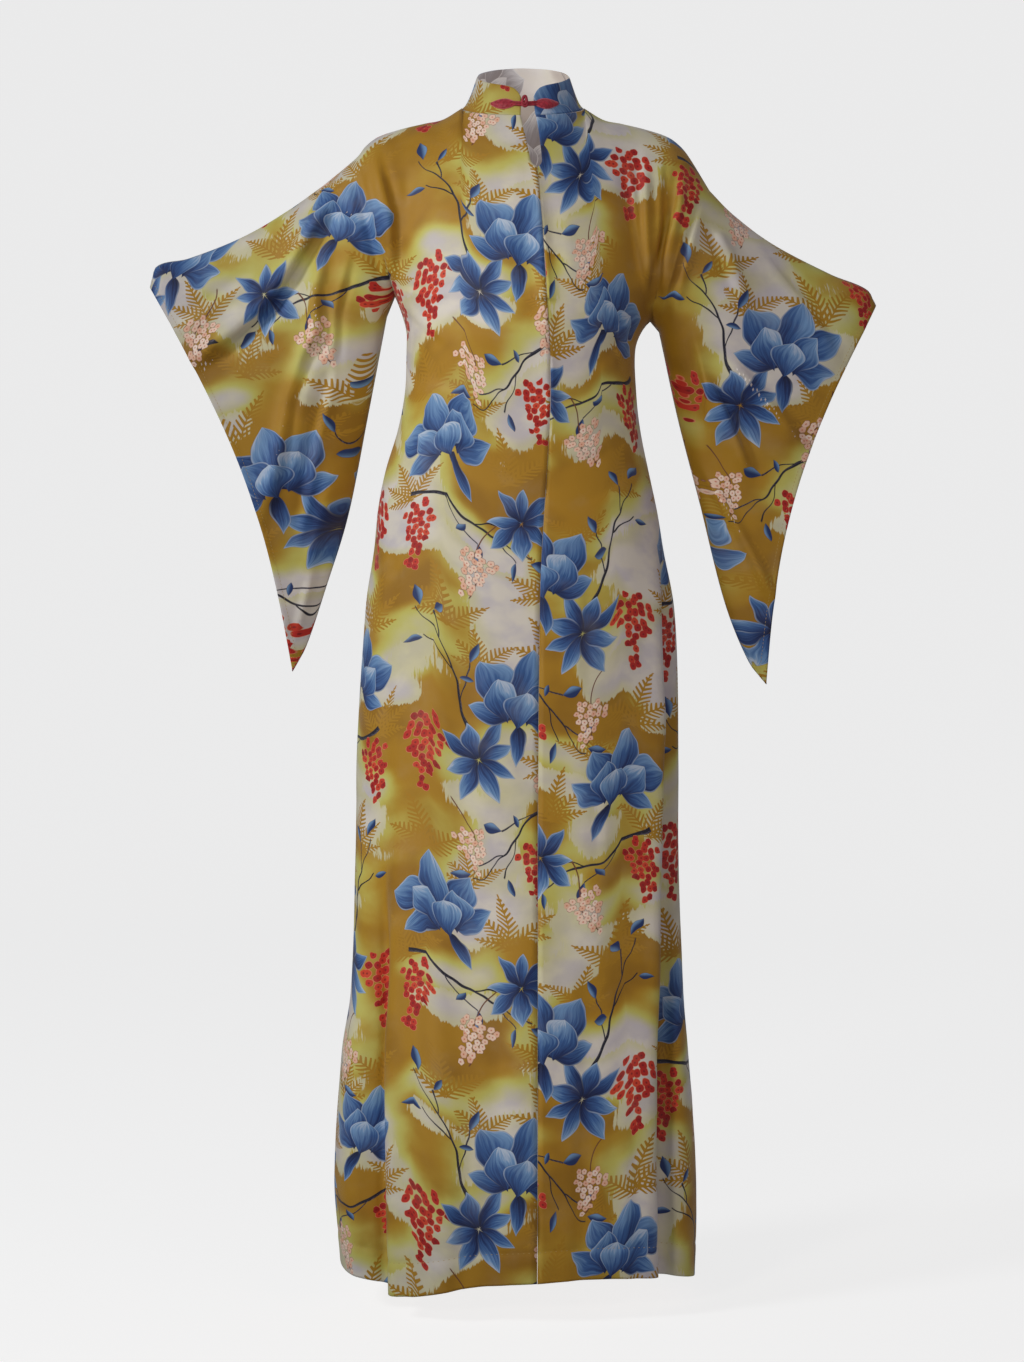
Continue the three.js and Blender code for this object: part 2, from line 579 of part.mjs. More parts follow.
// The band from leaf to leaf, with the knot in its middle.
function knotGeometry() {
  const ends = [-1, 1].map((side) => collarPoint(FROG.middle + side * FROG.leafFrom, FROG.height).x);
  const half = (ends[1] - ends[0]) / 2 - SEAM_GAP;
  const outline = [
    [0, half],
    [KNOT.bandRadius * 0.8, half],
    [KNOT.bandRadius, half * 0.55],
    [KNOT.knotRadius * 0.85, half * 0.25],
    [KNOT.knotRadius, 0],
  ];
  const upper = outline.slice(0, -1).reverse();
  const profile = [...outline.map(([r, y]) => [r, -y]), ...upper].map(([r, y]) => new THREE.Vector2(r, y));
  const knot = new THREE.LatheGeometry(profile, 12);
  knot.rotateZ(-Math.PI / 2);
  knot.scale(1, KNOT.flatness, 1);
  const middle = collarPoint(FROG.middle, FROG.height, SEAM_GAP + KNOT.knotRadius * KNOT.flatness);
  knot.translate((ends[0] + ends[1]) / 2, middle.y, middle.z);
  return knot;
}

const printedCloth = new THREE.MeshStandardMaterial({ color: 0xc9a648, roughness: 0.55, metalness: 0 });
const redCloth = new THREE.MeshStandardMaterial({ color: 0xa3223a, roughness: 0.5, metalness: 0 });

const dress = new THREE.Group();
function addPiece(name, geometry, material) {
  const piece = new THREE.Mesh(geometry, material);
  piece.name = name;
  dress.add(piece);
}

addPiece('front_left', panelGeometry(-1, [1], FRONT_COLUMNS), printedCloth);
addPiece('front_right', panelGeometry(-1, [-1], FRONT_COLUMNS), printedCloth);
addPiece('back', panelGeometry(1, [1, -1], BACK_COLUMNS), printedCloth);
addPiece('collar', collarGeometry(), printedCloth);
addPiece('frog_leaf_left', leafGeometry(1), redCloth);
addPiece('frog_leaf_right', leafGeometry(-1), redCloth);
addPiece('frog_knot', knotGeometry(), redCloth);

export default dress;
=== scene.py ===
"""A printed floor-length dress with a stand collar, a keyhole under a knotted closure, and angel sleeves.

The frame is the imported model. Each cloth piece is a thin shell on its solid's form, worked out here from the
same tables as the solid, on a finer grid and with finer folds. Lengths in the tables are in millimetres.
"""
import math

import bpy
import numpy as np
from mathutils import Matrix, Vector


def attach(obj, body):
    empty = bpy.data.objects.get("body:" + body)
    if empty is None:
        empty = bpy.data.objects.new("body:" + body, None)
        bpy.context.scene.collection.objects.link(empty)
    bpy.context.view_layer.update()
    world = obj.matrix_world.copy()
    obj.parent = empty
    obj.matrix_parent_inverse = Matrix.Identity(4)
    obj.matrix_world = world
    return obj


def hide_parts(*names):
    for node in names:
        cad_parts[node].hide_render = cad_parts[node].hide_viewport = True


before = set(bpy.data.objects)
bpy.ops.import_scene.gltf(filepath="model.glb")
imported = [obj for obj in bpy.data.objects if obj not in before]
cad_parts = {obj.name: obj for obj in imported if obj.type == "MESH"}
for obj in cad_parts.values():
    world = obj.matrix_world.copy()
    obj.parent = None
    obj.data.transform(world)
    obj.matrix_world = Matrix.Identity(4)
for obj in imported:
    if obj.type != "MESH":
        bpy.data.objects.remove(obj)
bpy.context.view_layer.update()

MM = 0.001
LEFT, RIGHT = 1, -1  # the wearer's left is +X
FRONT, BACK = -1, 1
SEAM_GAP = 0.3
CLOTH = 0.7  # thickness of the shown cloth

# Form, as in the solids.
NECK_WIDTH, NECK_FRONT, NECK_BACK, NECK_SIDE, FRONT_SLOPE, BACK_SLOPE = 76, 70, 62, 20, 0.33, 0.35
KEY_TOP, KEY_LOW, KEY_END, KEY_ROUND = 9.5, 6.7, -70, 0.86
CENTRE_Z = np.array([-1422, -600, -360, -200, -70, 10.0])
CENTRE_X = np.array([16, 20, 32, 26, 16.5, 4.0])
COLLAR_HEIGHT, COLLAR_FRONT, COLLAR_CORNER, COLLAR_LEAN, COLLAR_FLARE = 40, 25, 6, 18, 0.65
FROG_MIDDLE, FROG_HEIGHT, FROG_FALL = 1.8, 16, 2
LEAF_FROM, LEAF_TO, LEAF_HALF, LEAF_THICK = 10.8, 37, 6.2, 3.2
# Columns: drop, half width, front depth, back depth, shift.
BODY = np.array([
    (215, 158, 116, 95, 0), (256, 146, 126, 94, 0), (281, 142.5, 127, 91, -2.5), (331, 144, 119, 86, -3),
    (381, 151, 111, 88, -5), (431, 163.5, 107, 96, -7.5), (481, 174, 106, 106, -7),
    (531, 180.5, 108, 117, -5.5), (606, 192.5, 112, 124, -3.5), (756, 200, 116, 118, -6),
    (906, 201.5, 118, 116, -7.5),
    (1081, 207.5, 124, 122, -7.5), (1156, 216, 129, 127, -10), (1306, 225.5, 138, 137, -9.5),
    (1422, 221, 141, 140, -7),
], dtype=float).T
DROP, HALF, FRONT_DEPTH, BACK_DEPTH, SHIFT = range(5)
CHEST_DROP = 236
HEM_DROP = 1422
SQUARENESS = 2.3
POWER = 2 / SQUARENESS
YOKE_ROUND, SHOULDER_ROUND = 1.15, 2
SHOULDER = np.array([
    (0, 76, 20), (0.1, 99, 6), (0.25, 122, 1), (0.46, 152, -6), (0.64, 181, -16), (0.76, 197, -28),
    (0.84, 208, -42),
], dtype=float)
CAP_SHARE = 0.19
# Columns: share along, x, z.
SLEEVES = {
    LEFT: {
        "armpit": (159, 246),
        "top": np.array([
            (0, 233, -83), (0.2, 262, -112), (0.45, 312, -149),
            (0.75, 385, -187), (0.92, 430, -206), (1, 441, -226),
        ], dtype=float).T,
        "low": np.array([
            (0, 170, -259), (0.3, 193, -366), (0.55, 221, -474),
            (0.8, 253, -600), (0.93, 282, -671), (1, 304, -699),
        ], dtype=float).T,
        "bow": 34,
    },
    RIGHT: {
        "armpit": (160, 215),
        "top": np.array([
            (0, 250, -77), (0.2, 293, -107), (0.45, 350, -140),
            (0.75, 418, -167), (0.92, 458, -177), (1, 466, -203),
        ], dtype=float).T,
        "low": np.array([
            (0, 170, -240), (0.3, 194, -366), (0.55, 218, -487),
            (0.8, 247, -581), (0.93, 271, -652), (1, 288, -683),
        ], dtype=float).T,
        "bow": 31,
    },
}
SLEEVE_DEPTH = np.array([(0, 54), (0.25, 45), (0.6, 33), (1, 26)], dtype=float).T
TEARDROP = 0.35
# Columns: side, crest x above, crest x at the hem, rise, sink, roll, start, full.
SKIRT_FOLDS = [(1, 168, 153, 9, 30, 12, 480, 760), (-1, 146, 141, 9, 28, 12, 780, 1150)]
FOLD_WIDTH, HOLLOW_OFFSET, HOLLOW_WIDTH, FOLD_FADE = 7, 13, 9, (78, 90)
# Columns: from x, from z, to x, to z, half width, rise.
FRONT_CREASES = [
    (14, -84, 40, -420, 9, 3.2), (150, -52, 152, -226, 8, 5), (199, -58, 170, -232, 7, 6),
    (222, -92, 182, -246, 8, 5), (124, -70, 138, -218, 9, -4), (-183, -56, -160, -220, 9, 5),
    (-140, -60, -150, -210, 10, -3.5),
    (-243, -100, -304, -210, 10, 7), (-286, -184, -414, -310, 12, 8), (-246, -170, -262, -300, 10, 6),
    (-260, -290, -322, -500, 14, 7), (-232, -420, -282, -640, 12, 5), (236, -136, 282, -240, 10, 6),
    (236, -292, 352, -420, 14, 8), (214, -310, 286, -452, 11, 6), (216, -440, 316, -610, 12, 7),
    (82, -700, 96, -1080, 22, 4), (-64, -560, -74, -1180, 26, -4), (12, -900, 20, -1422, 30, 6),
    (-92, -960, -96, -1422, 20, 6),
]
BACK_CREASES = [
    (150, -60, 156, -226, 9, 5), (-150, -60, -156, -216, 9, 5), (205, -84, 178, -240, 9, 5),
    (-205, -80, -178, -230, 9, 5), (236, -128, 292, -300, 12, 7), (-250, -118, -300, -300, 12, 7),
    (232, -300, 330, -470, 14, 7), (-236, -300, -330, -480, 14, 7), (218, -420, 290, -640, 12, 6),
    (-214, -420, -276, -630, 12, 6), (128, -640, 158, -1422, 24, 15), (-134, -620, -166, -1422, 24, 15),
    (54, -720, 62, -1422, 26, -12), (-46, -760, -52, -1422, 26, -12), (4, -800, 6, -1422, 22, 10),
]
CREASE_FADE, CREASE_EDGE, CREASE_RIM = 0.22, (70, 90), 0.15
HEM_ANGLE = np.array([-180, -95, -62, -36, -8, 20, 52, 95, 180.0])
HEM_WAVE = np.array([-3, -8, 2, 14, -3, -10, -3, 12, -3.0])
HEM_WAVE_REACH = 160
NECK_SHARE = 0.28
NECK_EASE = 1.4
FRONT_SPREAD = np.array([(0, 0), (0.34, 38), (0.86, 74), (1, 90)], dtype=float).T
ARMPIT_ARCH = 11

# Finer folds that only the shown cloth has: a path in the front view, half width, rise, and the depth of the
# hollow beside it, to the right of the path's direction where positive.
FRONT_FOLDS = [
    # wearer's right sleeve
    ([(-252, -82), (-240, -106), (-286, -182), (-318, -230), (-358, -265), (-408, -300)], 9, 4.5, -4),
    ([(-242, -165), (-258, -211), (-254, -265), (-271, -290), (-291, -349), (-300, -400), (-319, -489)],
     8, 3.6, -3),
    ([(-226, -296), (-252, -392), (-276, -520)], 7, 2.4, 1.5),
    ([(-330, -196), (-398, -240), (-430, -262)], 9, 2.2, 1.2),
    ([(-214, -170), (-232, -240), (-236, -320)], 6, 2.2, -1.6),
    ([(-262, -560), (-276, -610), (-284, -650)], 6, 1.8, 1),
    # wearer's right shoulder and armpit
    ([(-184, -45), (-164, -120), (-160, -215)], 7, 3.4, -3),
    ([(-206, -56), (-184, -130), (-166, -205)], 6, 2.4, 2),
    ([(-150, -214), (-118, -226), (-84, -224)], 5, 1.6, -1),
    ([(-147, -232), (-120, -262), (-92, -286)], 5, 1.4, 0.8),
    # wearer's left shoulder and armpit
    ([(196, -64), (192, -110), (168, -196), (162, -240)], 6, 4.6, 4),
    ([(170, -52), (168, -120), (160, -230)], 5, 3, -3),
    ([(148, -44), (150, -130), (156, -226)], 5, 2.6, 2.4),
    ([(216, -82), (196, -150), (172, -236)], 5, 2.8, -2.4),
    ([(130, -64), (140, -140), (152, -214)], 5, 2, 1.6),
    ([(150, -246), (118, -268), (82, -276)], 5, 1.7, 1),
    ([(146, -262), (112, -300), (84, -328)], 5, 1.4, 0.8),
    # wearer's left sleeve
    ([(236, -138), (252, -168), (266, -204)], 7, 3, 2.2),
    ([(228, -322), (256, -380), (282, -440)], 7, 3.2, -2.6),
    ([(246, -292), (300, -352), (350, -408)], 8, 3.6, 3),
    ([(222, -432), (272, -516), (316, -606)], 7, 3.4, 2.8),
    ([(300, -170), (352, -236), (392, -300)], 9, 2.4, -1.6),
    ([(212, -270), (226, -330), (232, -400)], 5, 2, 1.4),
    ([(330, -210), (398, -250), (424, -262)], 8, 1.8, 1),
    # chest and waist
    ([(-6, -70), (-20, -140), (-26, -230)], 12, 1.4, 0.6),
    ([(40, -74), (54, -150), (62, -240)], 12, 1.3, 0.6),
    ([(-120, -330), (-80, -352), (-30, -356)], 7, 1.1, -0.8),
    ([(112, -338), (70, -362), (30, -366)], 7, 1.1, 0.8),
    ([(-132, -372), (-96, -398), (-50, -408)], 7, 1.2, 0.8),
    ([(126, -384), (92, -412), (48, -424)], 7, 1.2, -0.8),
    ([(-138, -420), (-110, -452), (-70, -470)], 8, 1, 0.6),
    ([(140, -436), (112, -470), (74, -490)], 8, 1, 0.6),
    # skirt
    ([(-130, -1020), (-132, -1160), (-130, -1422)], 9, 2.6, 2),
    ([(-131, -940), (-128, -1090), (-130, -1190)], 7, 1.4, 0),
    ([(69, -560), (68, -640), (66, -706)], 8, 1.8, -1.2),
    ([(97, -806), (98, -870), (96, -940)], 8, 1.6, 1),
    ([(126, -1220), (124, -1310), (126, -1422)], 9, 2, -1.4),
    ([(-40, -640), (-52, -760), (-54, -900)], 14, 1.4, 0.8),
    ([(-8, -1000), (-14, -1180), (-30, -1422)], 13, 2, 1.4),
    ([(62, -1010), (58, -1180), (52, -1422)], 13, 2, -1.4),
    ([(-96, -520), (-104, -640), (-108, -760)], 12, 1.4, 0.8),
    ([(-76, -1180), (-84, -1300), (-88, -1422)], 10, 2, -1.4),
    ([(158, -560), (172, -760), (166, -1000), (164, -1422)], 8, 1.6, -2.4),
    ([(-168, -520), (-180, -700), (-176, -960), (-180, -1422)], 9, 2, -2),
]
BACK_FOLDS = [
    ([(0, -70), (4, -150), (0, -236)], 14, 1.4, 0.6),
    ([(184, -60), (172, -140), (160, -236)], 6, 3.4, 3),
    ([(-184, -56), (-172, -140), (-160, -210)], 6, 3.4, -3),
    ([(206, -84), (186, -160), (168, -240)], 6, 2.6, -2),
    ([(-206, -84), (-186, -160), (-168, -216)], 6, 2.6, 2),
    ([(146, -240), (112, -262), (76, -268)], 6, 1.6, 1),
    ([(-146, -226), (-110, -252), (-74, -258)], 6, 1.6, -1),
    ([(244, -120), (262, -190), (292, -260)], 7, 3, 2.4),
    ([(-250, -112), (-266, -190), (-300, -262)], 7, 3, -2.4),
    ([(230, -300), (270, -370), (318, -440)], 8, 3.4, -2.8),
    ([(-230, -290), (-276, -376), (-326, -450)], 8, 3.4, 2.8),
    ([(220, -430), (262, -520), (304, -610)], 7, 2.8, 2),
    ([(-216, -420), (-252, -520), (-284, -610)], 7, 2.8, -2),
    ([(118, -352), (70, -372), (20, -374)], 7, 1.2, 0.8),
    ([(-118, -346), (-74, -368), (-22, -370)], 7, 1.2, -0.8),
    ([(130, -404), (90, -432), (40, -440)], 8, 1.2, -0.8),
    ([(-130, -396), (-86, -424), (-40, -430)], 8, 1.2, 0.8),
    ([(96, -620), (106, -860), (112, -1422)], 11, 2.4, 2),
    ([(-98, -600), (-108, -860), (-116, -1422)], 11, 2.4, -2),
    ([(30, -760), (34, -1000), (36, -1422)], 10, 2.2, -1.6),
    ([(-22, -800), (-26, -1040), (-30, -1422)], 10, 2.2, 1.6),
    ([(172, -620), (182, -900), (186, -1422)], 9, 2, 1.6),
    ([(-176, -620), (-184, -900), (-190, -1422)], 9, 2, -1.6),
]
CREASES = {FRONT: FRONT_CREASES, BACK: BACK_CREASES}
FOLDS = {FRONT: FRONT_FOLDS, BACK: BACK_FOLDS}
SLEEVE_FROM, SLEEVE_FOLD_GAIN = 205, 1.45  # folds out on the sleeves are sharper
HEM_WIDTH = 38  # depth of the turned hem
CUFF_WIDTH = 8  # and of the narrow hem round each cuff


# Helpers for the form.
def mix(a, b, t):
    return a + (b - a) * t


def ramp(start, end, at):
    t = np.clip((at - start) / (end - start), 0, 1)
    return t * t * (3 - 2 * t)


def bell(x):
    return np.exp(-x * x)


def power(x, exponent):
    return np.sign(x) * np.abs(x) ** exponent


def read(places, values, at):
    """Values at places between those of a table, on the smooth curve that the solids use."""
    at = np.asarray(at, dtype=float)
    last = len(places) - 1
    slopes = np.empty(last + 1)
    for j in range(last + 1):
        low, high = max(j - 1, 0), min(j + 1, last)
        slopes[j] = (values[high] - values[low]) / (places[high] - places[low])
    i = np.searchsorted(places[1:last], at, side="left")
    run = places[i + 1] - places[i]
    t = np.clip((at - places[i]) / run, 0, 1)
    bend = t * (1 - t) * ((1 - t) * slopes[i] - t * slopes[i + 1]) * run
    return mix(values[i], values[i + 1], t * t * (3 - 2 * t)) + bend


def crease_lift(creases, x, z):
    lift = np.zeros_like(x)
    for x0, z0, x1, z1, width, rise in creases:
        long = math.hypot(x1 - x0, z1 - z0)
        along = ((x - x0) * (x1 - x0) + (z - z0) * (z1 - z0)) / long**2
        across = ((x - x0) * (z1 - z0) - (z - z0) * (x1 - x0)) / long
        fade_out = 1 if z1 <= -HEM_DROP else 1 - ramp(1 - CREASE_FADE, 1, along)
        lift += rise * bell(across / width) * ramp(0, CREASE_FADE, along) * fade_out
    return lift


def fold_lift(folds, x, z):
    """The finer folds: each a ridge along its path with a hollow beside it, fading out at both ends."""
    lift = np.zeros_like(x)
    for path, width, rise, hollow in folds:
        points = np.array(path, dtype=float)
        gain = SLEEVE_FOLD_GAIN if np.abs(points[:, 0]).max() > SLEEVE_FROM else 1
        steps = np.diff(points, axis=0)
        lengths = np.hypot(steps[:, 0], steps[:, 1])
        before = np.concatenate([[0], np.cumsum(lengths)])
        nearest = np.full(x.shape, 1e9)
        signed = np.zeros_like(x)
        share = np.zeros_like(x)
        for (px, pz), (dx, dz), length, start in zip(points, steps, lengths, before):
            along = ((x - px) * dx + (z - pz) * dz) / length**2
            held = np.clip(along, 0, 1)
            away = np.hypot(x - px - held * dx, z - pz - held * dz)
            side = ((x - px) * dz - (z - pz) * dx) / length
            closer = away < nearest
            nearest = np.where(closer, away, nearest)
            signed = np.where(closer, side, signed)
            share = np.where(closer, (start + along * length) / before[-1], share)
        open_end = points[-1, 1] <= -HEM_DROP
        fade = ramp(-0.12, 0.3, share) * (1 if open_end else 1 - ramp(0.7, 1.12, share))
        turn = np.sign(hollow) if hollow else 1
        beside = turn * signed
        ridge = bell(np.where(beside > 0, beside / (width * 0.6), beside / (width * 1.25)))
        trough = bell((beside - 1.45 * width) / (0.85 * width))
        near = bell(np.maximum(nearest - 3 * width, 0) / width)
        lift += gain * (rise * ridge - abs(hollow) * trough) * fade * near
    return lift


def neckline(angle):
    turn = np.radians(angle)
    ahead = np.cos(turn)
    y = -ahead * np.where(ahead > 0, NECK_FRONT, NECK_BACK)
    z = NECK_SIDE + np.where(ahead > 0, FRONT_SLOPE, BACK_SLOPE) * y
    return NECK_WIDTH * np.sin(turn), y, z


NECK_TOP = float(neckline(0)[2])


def body_size(column, drop):
    """A size of the body at this drop below the shoulders."""
    return read(BODY[DROP], BODY[column], drop)


def centre_edge(side, z):
    down = (NECK_TOP - z) / (NECK_TOP - KEY_END)
    past = np.clip((down - KEY_ROUND) / (1 - KEY_ROUND), 0, 1)
    half = mix(KEY_TOP, KEY_LOW, np.minimum(down, 1)) * np.sqrt(1 - past**2)
    return read(CENTRE_Z, CENTRE_X, z) + side * np.maximum(half, SEAM_GAP / 2)


def neckline_angle(face, side, share):
    if face > 0:
        return side * (180 - 90 * share)
    start = math.degrees(math.asin(float(centre_edge(side, NECK_TOP)) / NECK_WIDTH))
    return mix(start, side * 90, share**NECK_EASE)


def section_angle(face, side, across, drop):
    if face > 0:
        return side * 90 * across
    spread = read(FRONT_SPREAD[0], FRONT_SPREAD[1], across)
    centre = (read(CENTRE_Z, CENTRE_X, -drop) - body_size(SHIFT, drop)) / body_size(HALF, drop)
    return mix(np.degrees(np.arcsin(power(centre, 1 / POWER))), side * 90, spread / 90)


def fold_push(angle, drop, half):
    out, roll_by = np.zeros_like(angle), np.zeros_like(angle)
    for side, high_x, low_x, rise, sink, roll, start, full in SKIRT_FOLDS:
        crest_x = mix(high_x, low_x, ramp(start, HEM_DROP, drop))
        crest = np.degrees(np.arcsin(np.minimum((crest_x / half) ** (1 / POWER), 1)))
        around = np.abs(angle) - crest
        grown = ramp(start, full, drop) * (1 - ramp(*FOLD_FADE, np.abs(angle))) * (side * angle > 0)
        ridge = bell(around / FOLD_WIDTH)
        out += (rise * ridge - sink * bell((around - HOLLOW_OFFSET) / HOLLOW_WIDTH)) * grown
        roll_by += roll * ridge * grown
    return out, roll_by


def body_point(face, side, across, drop):
    angle = section_angle(face, side, across, drop)
    half = body_size(HALF, drop)
    depth = body_size(FRONT_DEPTH if face < 0 else BACK_DEPTH, drop)
    x = half * power(np.sin(np.radians(angle)), POWER)
    y = depth * power(np.maximum(np.cos(np.radians(angle)), 0), POWER)
    out_x, out_y = x / half**2, y / depth**2
    long = np.hypot(out_x, out_y)
    out_x, out_y = out_x / long, out_y / long
    push, roll = fold_push(angle, drop, half) if face < 0 else (np.zeros_like(x), np.zeros_like(x))
    push = push + crease_lift(CREASES[face], x, -drop) * (1 - ramp(*CREASE_EDGE, np.abs(angle)))
    round_angle = angle if face < 0 else np.where(angle < 0, -180, 180) - angle
    wave = read(HEM_ANGLE, HEM_WAVE, round_angle) * ramp(HEM_DROP - HEM_WAVE_REACH, HEM_DROP, drop)
    pit_x, pit_drop = SLEEVES[side]["armpit"]
    flare = pit_x - float(body_size(HALF, pit_drop)) - side * float(body_size(SHIFT, pit_drop))
    arch = flare * np.exp((pit_drop - drop) / ARMPIT_ARCH) * across**6
    gap = (1 - across) * SEAM_GAP / 2 if face < 0 else 0
    sideways = side * (out_y * roll + arch + gap)
    return np.stack([
        x + out_x * push + sideways + body_size(SHIFT, drop),
        face * (y + out_y * push - np.abs(out_x) * roll + SEAM_GAP / 2),
        -drop - wave,
    ], axis=-1)


def armpit_row_drop(side, across):
    return mix(CHEST_DROP, SLEEVES[side]["armpit"][1], across**2)


def upper_point(face, side, across, down):
    sleeve = SLEEVES[side]
    inner = np.minimum(across, 1)
    low = body_point(face, side, inner, armpit_row_drop(side, inner))
    neck_x, neck_y, neck_z = neckline(neckline_angle(face, side, np.minimum(across / NECK_SHARE, 1)))
    along = mix((1 - CAP_SHARE) * (inner - NECK_SHARE) / (1 - NECK_SHARE), 1, np.maximum(across - 1, 0))
    edge = np.vstack([SHOULDER, (1, sleeve["top"][1, 0], sleeve["top"][2, 0])]).T
    at_neck = across <= NECK_SHARE
    top_x = np.where(at_neck, neck_x, side * read(edge[0], edge[1], along))
    top_y = np.where(at_neck, neck_y, 0)
    top_z = np.where(at_neck, neck_z, read(edge[0], edge[2], along))
    past = np.maximum(across - 1, 0)
    pit_x, pit_drop = sleeve["armpit"]
    low_x = np.where(across > 1, side * mix(pit_x, sleeve["low"][1, 0], past), low[..., 0])
    low_z = np.where(across > 1, mix(-pit_drop, sleeve["low"][2, 0], past), low[..., 2])
    arm = SLEEVE_DEPTH[1, 0] * ramp(0.35, 1, across)
    bulge = mix(YOKE_ROUND, SHOULDER_ROUND, ramp(0, 0.5, across))
    from_top = top_y**2 * (1 - down) ** bulge
    from_low = np.maximum(np.abs(low[..., 1]) - SEAM_GAP / 2, 0) ** 2 * (1 - (1 - down) ** bulge)
    depth = np.sqrt(from_top + from_low + arm**2 * 4 * down * (1 - down))
    z = mix(top_z, low_z, down)
    x = mix(top_x, low_x, down)
    if face < 0:
        straight = mix(centre_edge(side, NECK_TOP), centre_edge(side, -CHEST_DROP), down)
        x = x + (centre_edge(side, z) - straight) * np.maximum(1 - across / NECK_SHARE, 0) ** 2
    rim = ramp(0, CREASE_RIM, down) * (1 - ramp(1 - CREASE_RIM, 1, down) * ramp(0.8, 1, across))
    lift = crease_lift(CREASES[face], x, z) * rim * (down < 1)
    return np.stack([x, face * (depth + lift + SEAM_GAP / 2), z], axis=-1)


def sleeve_point(face, side, along, down):
    sleeve = SLEEVES[side]
    top, low = sleeve["top"], sleeve["low"]
    level = mix(read(top[0], top[1], along), read(low[0], low[1], along), down)
    x = side * (level - sleeve["bow"] * along**2 * np.sin(np.pi * down))
    z = mix(read(top[0], top[2], along), read(low[0], low[2], along), down)
    thin = TEARDROP * along
    bulge = 2 * down**0.5 * (1 - down) ** (0.5 + thin) * (1 + thin)
    depth = read(SLEEVE_DEPTH[0], SLEEVE_DEPTH[1], along) * bulge
    rim = ramp(0, CREASE_RIM, down) * (1 - ramp(1 - CREASE_RIM, 1, down))
    lift = crease_lift(CREASES[face], x, z) * rim
    return np.stack([x, face * (depth + lift + SEAM_GAP / 2), z], axis=-1)


# The fine grid of a panel.
COLUMNS = {FRONT: (18, 34, 12, 52), BACK: (14, 36, 12, 50)}
UPPER_COUNT, LOWER_COUNT = 92, 224
DROP_RUN = HEM_DROP - CHEST_DROP
HEM_BAND = 49  # above the hem, where the grid is finer
HEM_ROWS = [44, 40.5, 38, 35.5, 30, 25, 20, 15, 10, 6, 3, 0]
CUFF_COLUMNS = [0.026, 0.018, 0.009, 0]
WAVE_COUNT, WAVE_SHORT, WAVE_LONG, WAVE_SHARE = 26, 45, 190, 5
SLEEVE_RUN = 270  # about how long a sleeve is from cap to cuff


def panel_shares(face):
    neck, body, cap, sleeve = COLUMNS[face]
    outer = np.concatenate([np.linspace(0, 0.966, sleeve), 1 - np.array(CUFF_COLUMNS)])
    parts = [
        np.linspace(0, NECK_SHARE, neck, endpoint=False),
        np.linspace(NECK_SHARE, 1, body, endpoint=False),
        np.linspace(1, 2, cap, endpoint=False),
        2 + outer,
    ]
    return np.concatenate(parts), neck + body


def undulation(u, v, seed):
    """A slow, small rise and fall of the cloth, the same each run."""
    waves = np.random.default_rng(seed)
    total = np.zeros_like(u)
    for _ in range(WAVE_COUNT):
        length = waves.uniform(WAVE_SHORT, WAVE_LONG)
        turn = waves.uniform(0, np.pi)
        phase = waves.uniform(0, 2 * np.pi)
        wave = np.sin((u * np.cos(turn) + v * np.sin(turn)) * 2 * np.pi / length + phase)
        total += wave * length / WAVE_LONG
    return total / WAVE_SHARE


def half_panel(face, side):
    """Upper and lower grids of points and of fabric coordinates, from the centre line outwards."""
    shares, seam = panel_shares(face)
    t = np.linspace(0, 1, UPPER_COUNT + 1)
    rows = 0.4 * t + 0.6 * (1 - np.cos(np.pi * t)) / 2
    across, down = np.meshgrid(shares, rows)
    upper = np.where(
        (across > 2)[..., None],
        sleeve_point(face, side, np.clip(across - 2, 0, 1), down),
        upper_point(face, side, np.minimum(across, 2), down),
    )
    low_rows = np.concatenate([
        np.linspace(0, 1 - HEM_BAND / DROP_RUN, LOWER_COUNT),
        1 - np.array(HEM_ROWS) / DROP_RUN,
    ])
    low_across, low_down = np.meshgrid(shares[: seam + 1], low_rows[1:])
    drop = mix(armpit_row_drop(side, low_across), HEM_DROP, low_down)
    lower = body_point(face, side, low_across, drop)
    lower = np.concatenate([upper[-1:, : seam + 1], lower])
    low_params = (
        np.vstack([shares[None, : seam + 1], low_across]),
        np.vstack([np.ones((1, seam + 1)), 1 + low_down]),
    )
    params = {"upper": (across, down), "lower": low_params}

    # Fabric coordinates: level and upright in the front view, plus what the cloth gains by going in and out.
    def gains(grid):
        step_row = np.diff(grid, axis=1)
        gain_u = np.hypot(step_row[..., 0], step_row[..., 1]) - np.abs(step_row[..., 0])
        gain_u = np.concatenate([np.zeros((grid.shape[0], 1)), np.cumsum(gain_u, axis=1)], axis=1)
        step_col = np.diff(grid, axis=0)
        gain_v = np.hypot(step_col[..., 2], step_col[..., 1]) - np.abs(step_col[..., 2])
        gain_v = np.concatenate([np.zeros((1, grid.shape[1])), np.cumsum(gain_v, axis=0)])
        return gain_u, gain_v

    up_u, up_v = gains(upper)
    low_u, low_v = gains(lower)
    fabric_upper = np.stack([upper[..., 0] + side * up_u, -upper[..., 2] + up_v], axis=-1)
    fabric_lower = np.stack(
        [lower[..., 0] + side * low_u, -lower[..., 2] + low_v + up_v[-1:, : seam + 1]], axis=-1
    )
    return upper, lower, fabric_upper, fabric_lower, params, seam


def vertex_normals(points, faces):
    corners = points[faces]
    normal = np.cross(corners[:, 2] - corners[:, 0], corners[:, 3] - corners[:, 1])
    out = np.zeros_like(points)
    for k in range(4):
        np.add.at(out, faces[:, k], normal)
    return out / np.maximum(np.linalg.norm(out, axis=1, keepdims=True), 1e-9)


